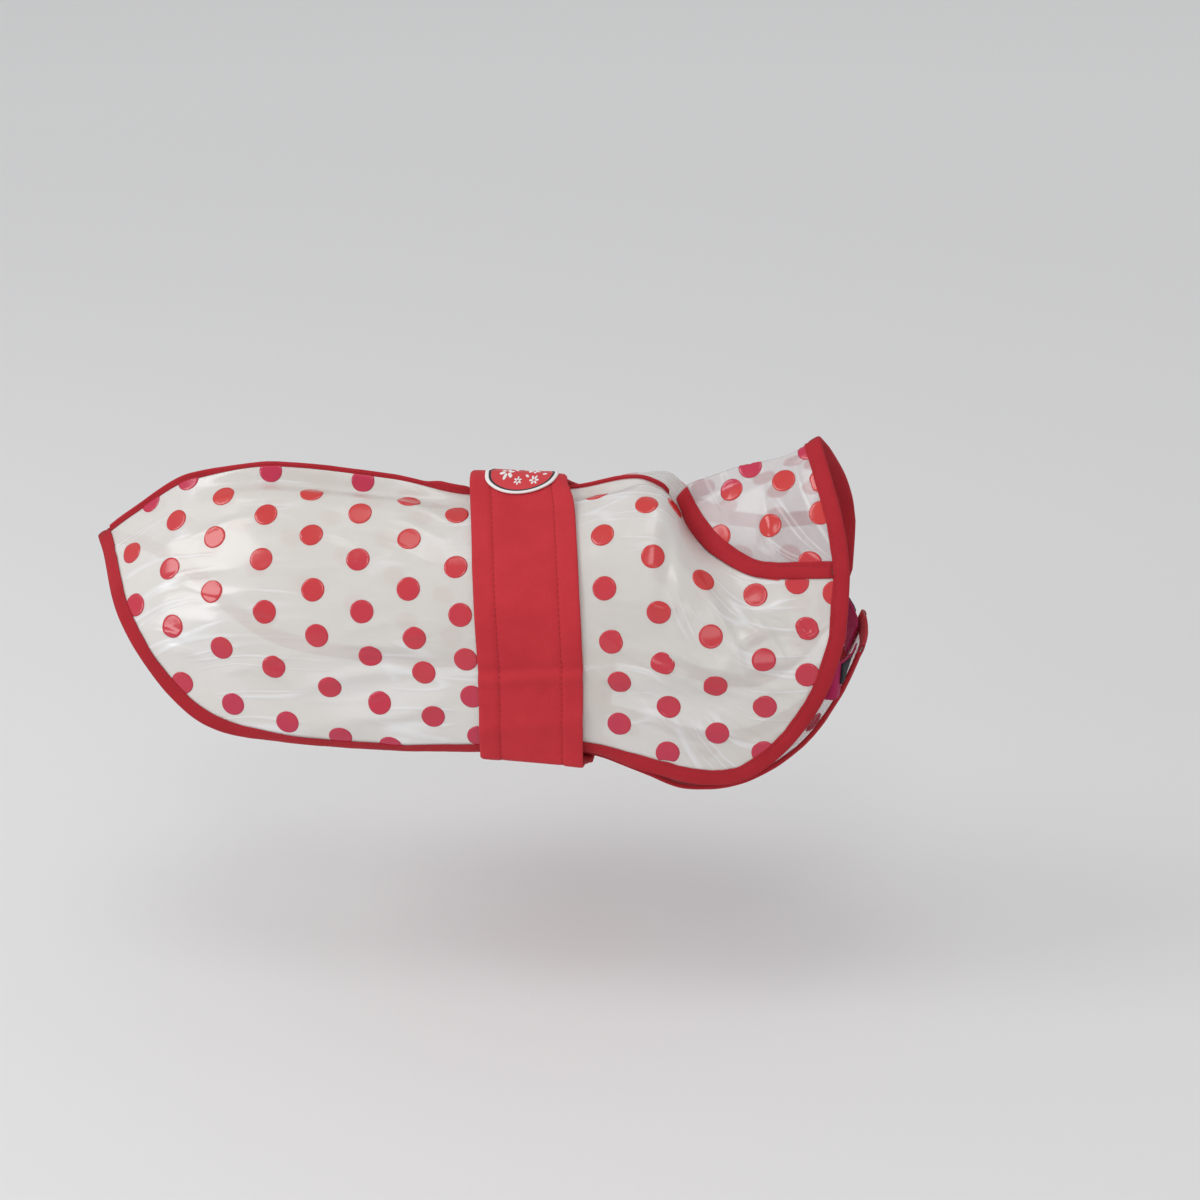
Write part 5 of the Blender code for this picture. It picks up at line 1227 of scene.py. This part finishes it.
def petal(cx, cy, angle, long, wide):
    # a low rounded petal lying on the badge's red field
    rows, spokes = badge["petalRows"], badge["petalSpokes"]
    turn, points = ringAngles(spokes), []
    for share, height in rows:
        u, v = share * long * np.cos(turn), share * wide * np.sin(turn)
        points += list(onBadge(cx + u * math.cos(angle) - v * math.sin(angle),
                               cy + u * math.sin(angle) + v * math.cos(angle), height))
    faces = list(gridFaces(len(rows), spokes, ring=True).reshape(-1, 4))
    return points, faces + [range((len(rows) - 1) * spokes, len(rows) * spokes)]


motifs = []
halfLong, halfWide = badge["petalHalf"]
for cx, cy, size, start in badge["daisies"]:
    for k in range(badge["petals"]):
        angle, out = start + k * 2 * math.pi / badge["petals"], badge["petalAt"] * size
        x, y = cx + out * math.cos(angle), cy + out * math.sin(angle)
        motifs.append((x, y, angle, halfLong * size, halfWide * size))
points, faces = [], []
for motif in motifs + badge["leaves"]:
    morePoints, moreFaces = petal(*motif)
    faces += [[k + len(points) for k in face] for face in moreFaces]
    points += morePoints
badgePetals = addMesh("badge_petals", points, faces, badgeWhite)
badgePetals.modifiers.new("weld", "WELD").merge_threshold = 0.02 * mm
only(badgePetals)
bpy.ops.object.modifier_apply(modifier="weld")
faceOut(badgePetals)
print("badge made")


share = np.linspace(0, 1, bib["along"] + 1)[:, None]
across = np.linspace(-1, 1, bib["across"] + 1)[None] * bibHalf(share[:, 0])[:, None]
share = np.broadcast_to(share, across.shape)
bibPiece = film("chest_bib", bibPoint(share, across), np.stack([share * bibLength, across], axis=-1),
                bib["wall"], collarFilm)
bibBindings, bibSeams = {}, {}
for side, sign in sideSign.items():
    share = np.linspace(bib["tapeFrom"], 1, 240)
    edge = tapeAlong(bibSurface, np.column_stack([share, sign * bibHalf(share)]), sign)[0]
    far = np.column_stack([np.clip(edge[:, 0], 0, 1), edge[:, 1] - sign * tape["width"]])
    bibBindings[side] = tapePiece(f"{side}_bib_tape", tapeRings(bibSurface, edge, far, 9 + sign))
    bibSeams[side] = joined(f"bib_stitches_{side}", tapeStitches("bib", bibSurface, edge, far))
inner = float(bibHalf(1.0)) - tape["width"] - bib["tapeGap"]
across = np.linspace(-inner, inner, 24)
edge, far = (np.column_stack([np.full(24, at), across]) for at in (1.0, 1 - tape["width"] / bibLength))
bibTop = tapePiece("bib_top_tape", tapeRings(bibSurface, edge, far, 12.0))
bibTopStitches = joined("bib_top_stitches", tapeStitches("bibTop", bibSurface, edge, far))
bibDots = dotPieces("dots_bib", bibSurface, bib["dots"])


chestTab = {
    "top": -66.0, "tall": 20, "rows": 12, "wall": 0.9, "inset": 3.2, "ripple": 0.4,
    "onPanel": [(158.0, 0.0), (166.0, 0.4), (173.0, 1.2)],  # x, how much deeper inside the panel
    "onBib": (26.0, 12.0), "bibShare": 0.985, "bibDown": 0.085, "bibUp": 0.35,
    # z and share along the tab of its hook patch, which lies outside it
    "hookZ": (-67.2, -78.5), "hookAt": (0.34, 0.60), "hookOut": 1.3, "hookWall": 1.1,
    "hookSize": (13, 11), "hookCount": (9, 12),
}


def tabLine(side, z):
    # from inside the panel's front edge to the bib's top corner
    sign, surface, inset = sideSign[side], bodies[side], chestTab["inset"]
    points = []
    for x, deeper in chestTab["onPanel"]:
        at = np.array(x), np.array(sAtHeight(x, z))
        points.append(surface["at"](*at) - (inset + deeper) * outward(surface, *at))
    share = chestTab["bibShare"] - chestTab["bibDown"] * (chestTab["top"] - z) / chestTab["tall"]
    for across in chestTab["onBib"]:
        points.append(bibPoint(share, sign * across) + (-inset, 0, chestTab["bibUp"] * inset))
    return smoothCurve(points, 8)


tabs, hooks = {}, {}
for side, sign in sideSign.items():
    rows, top, tall = chestTab["rows"], chestTab["top"], chestTab["tall"]
    lines = np.array([tabLine(side, z) for z in np.linspace(top, top - tall, rows)])
    length = runLength(lines[0])
    ripple = noiseAlong(length, 3.0 + sign, chestTab["ripple"])
    lines[..., 0] += ripple
    mapping = np.stack(np.meshgrid(np.linspace(0, tall, rows), length, indexing="ij"), axis=-1)
    tabs[side] = film(f"{side}_chest_tab", lines, mapping, chestTab["wall"], tabCloth)
    (tall, long), (rows, columns) = chestTab["hookSize"], chestTab["hookCount"]
    patch = []
    for z in np.linspace(*chestTab["hookZ"], rows):
        line, at = tabLine(side, z), np.linspace(*chestTab["hookAt"], columns)
        line[:, 0] += ripple
        here = resample(line, at)
        run = unit(resample(line, at + 0.02) - here)
        out = unit(sign * np.column_stack([-run[:, 1], run[:, 0], np.zeros(columns)]))
        patch.append(here + chestTab["hookOut"] * out)
    mapping = np.meshgrid(np.linspace(0, tall, rows), np.linspace(0, long, columns), indexing="ij")
    mapping = np.stack(mapping, axis=-1)
    hooks[side] = film(f"{side}_hook_patch", np.array(patch), mapping, chestTab["hookWall"], patchFuzz)
print("bib and tabs made")


def declare(piece, node, extras=()):
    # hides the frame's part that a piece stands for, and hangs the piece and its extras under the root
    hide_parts(node)
    for thing in (piece, *extras):
        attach(thing, "root")


for side in sideSign:
    declare(panels[side], f"panel_{side}",
            [panelDots[side]])
    declare(bindings[side], f"edge_binding_{side}",
            [seams[side]])
    declare(bibBindings[side], f"bib_binding_{side}",
            [bibSeams[side]])
    declare(tabs[side], f"chest_tab_{side}")
    declare(hooks[side], f"hook_patch_{side}")
declare(spineBinding, "spine_binding",
        [spineStitches])
declare(collarPiece, "collar", [collarDots])
declare(collarBinding, "collar_binding", [collarStitches])
declare(beltPiece, "belt", [beltStitches])
declare(closurePatch, "closure_patch")
declare(badgePiece, "badge", [badgePetals])
declare(bibPiece, "bib", [bibDots])
declare(bibTop, "bib_top_binding", [bibTopStitches])


studio = {  # in metres and watts
    "floorZ": -0.275, "floorSize": 60.0, "floorRough": 0.9, "floorFade": (0.6, 3.0),
    "floorColours": ((0.80, 0.80, 0.80), (0.91, 0.915, 0.91)),  # at the coat and far away
    "lamps": [  # name, place, size, power
        ("key", (-1.45, -0.68, 1.40), 0.85, 9),
        ("front", (0.1, -1.9, 1.95), 0.7, 5),
        ("top", (-0.1, -0.4, 1.9), 0.8, 4),
        ("lowLeft", (-1.6, -1.45, 0.42), 0.6, 5),
        ("lowRight", (0.85, -2.2, 0.55), 0.7, 2.5),
    ],
    "lampAim": (0, 0, -0.05),
    "sky": (0.985, 0.985, 1.0), "skyStrength": 0.62,
    "camera": (0.19668, -1.10179, 0.39113), "cameraAim": (0.04183, 0.0, -0.05839),
    "lens": 66.6, "sensor": 36.0,
}


def lookAt(thing, aim):
    thing.rotation_euler = (Vector(aim) - thing.location).to_track_quat("-Z", "Y").to_euler()


bpy.ops.object.select_all(action="DESELECT")
bpy.ops.mesh.primitive_plane_add(size=studio["floorSize"], location=(0, 0, studio["floorZ"]))
floor = bpy.context.object
floor.name = "floor"
paleFloor, tree, shader = newMaterial("paleFloor", studio["floorColours"][0], studio["floorRough"])
place = newNode(tree, "TexCoord", {}).outputs["Object"]
away = newNode(tree, "VectorMath", {0: place}, operation="LENGTH").outputs["Value"]
near, far = studio["floorFade"]
fade = newNode(tree, "MapRange", {"Value": away, "From Min": near, "From Max": far}).outputs["Result"]
rampColours(tree, shader, fade, zip((0, 1), studio["floorColours"]))
floor.data.materials.append(paleFloor)

for name, place, size, power in studio["lamps"]:
    bpy.ops.object.light_add(type="AREA", location=place)
    lamp = bpy.context.object
    lamp.name = name
    lamp.data.size, lamp.data.energy = size, power
    lookAt(lamp, studio["lampAim"])

world = bpy.data.worlds.new("studio")
bpy.context.scene.world = world
world.use_nodes = True
world.node_tree.nodes["Background"].inputs["Color"].default_value = (*studio["sky"], 1)
world.node_tree.nodes["Background"].inputs["Strength"].default_value = studio["skyStrength"]
bpy.context.scene.view_settings.view_transform = "Standard"

bpy.ops.object.camera_add(location=studio["camera"])
camera = bpy.context.object
lookAt(camera, studio["cameraAim"])
camera.data.lens, camera.data.sensor_width = studio["lens"], studio["sensor"]
bpy.context.scene.camera = camera
print("floor, light and camera placed")
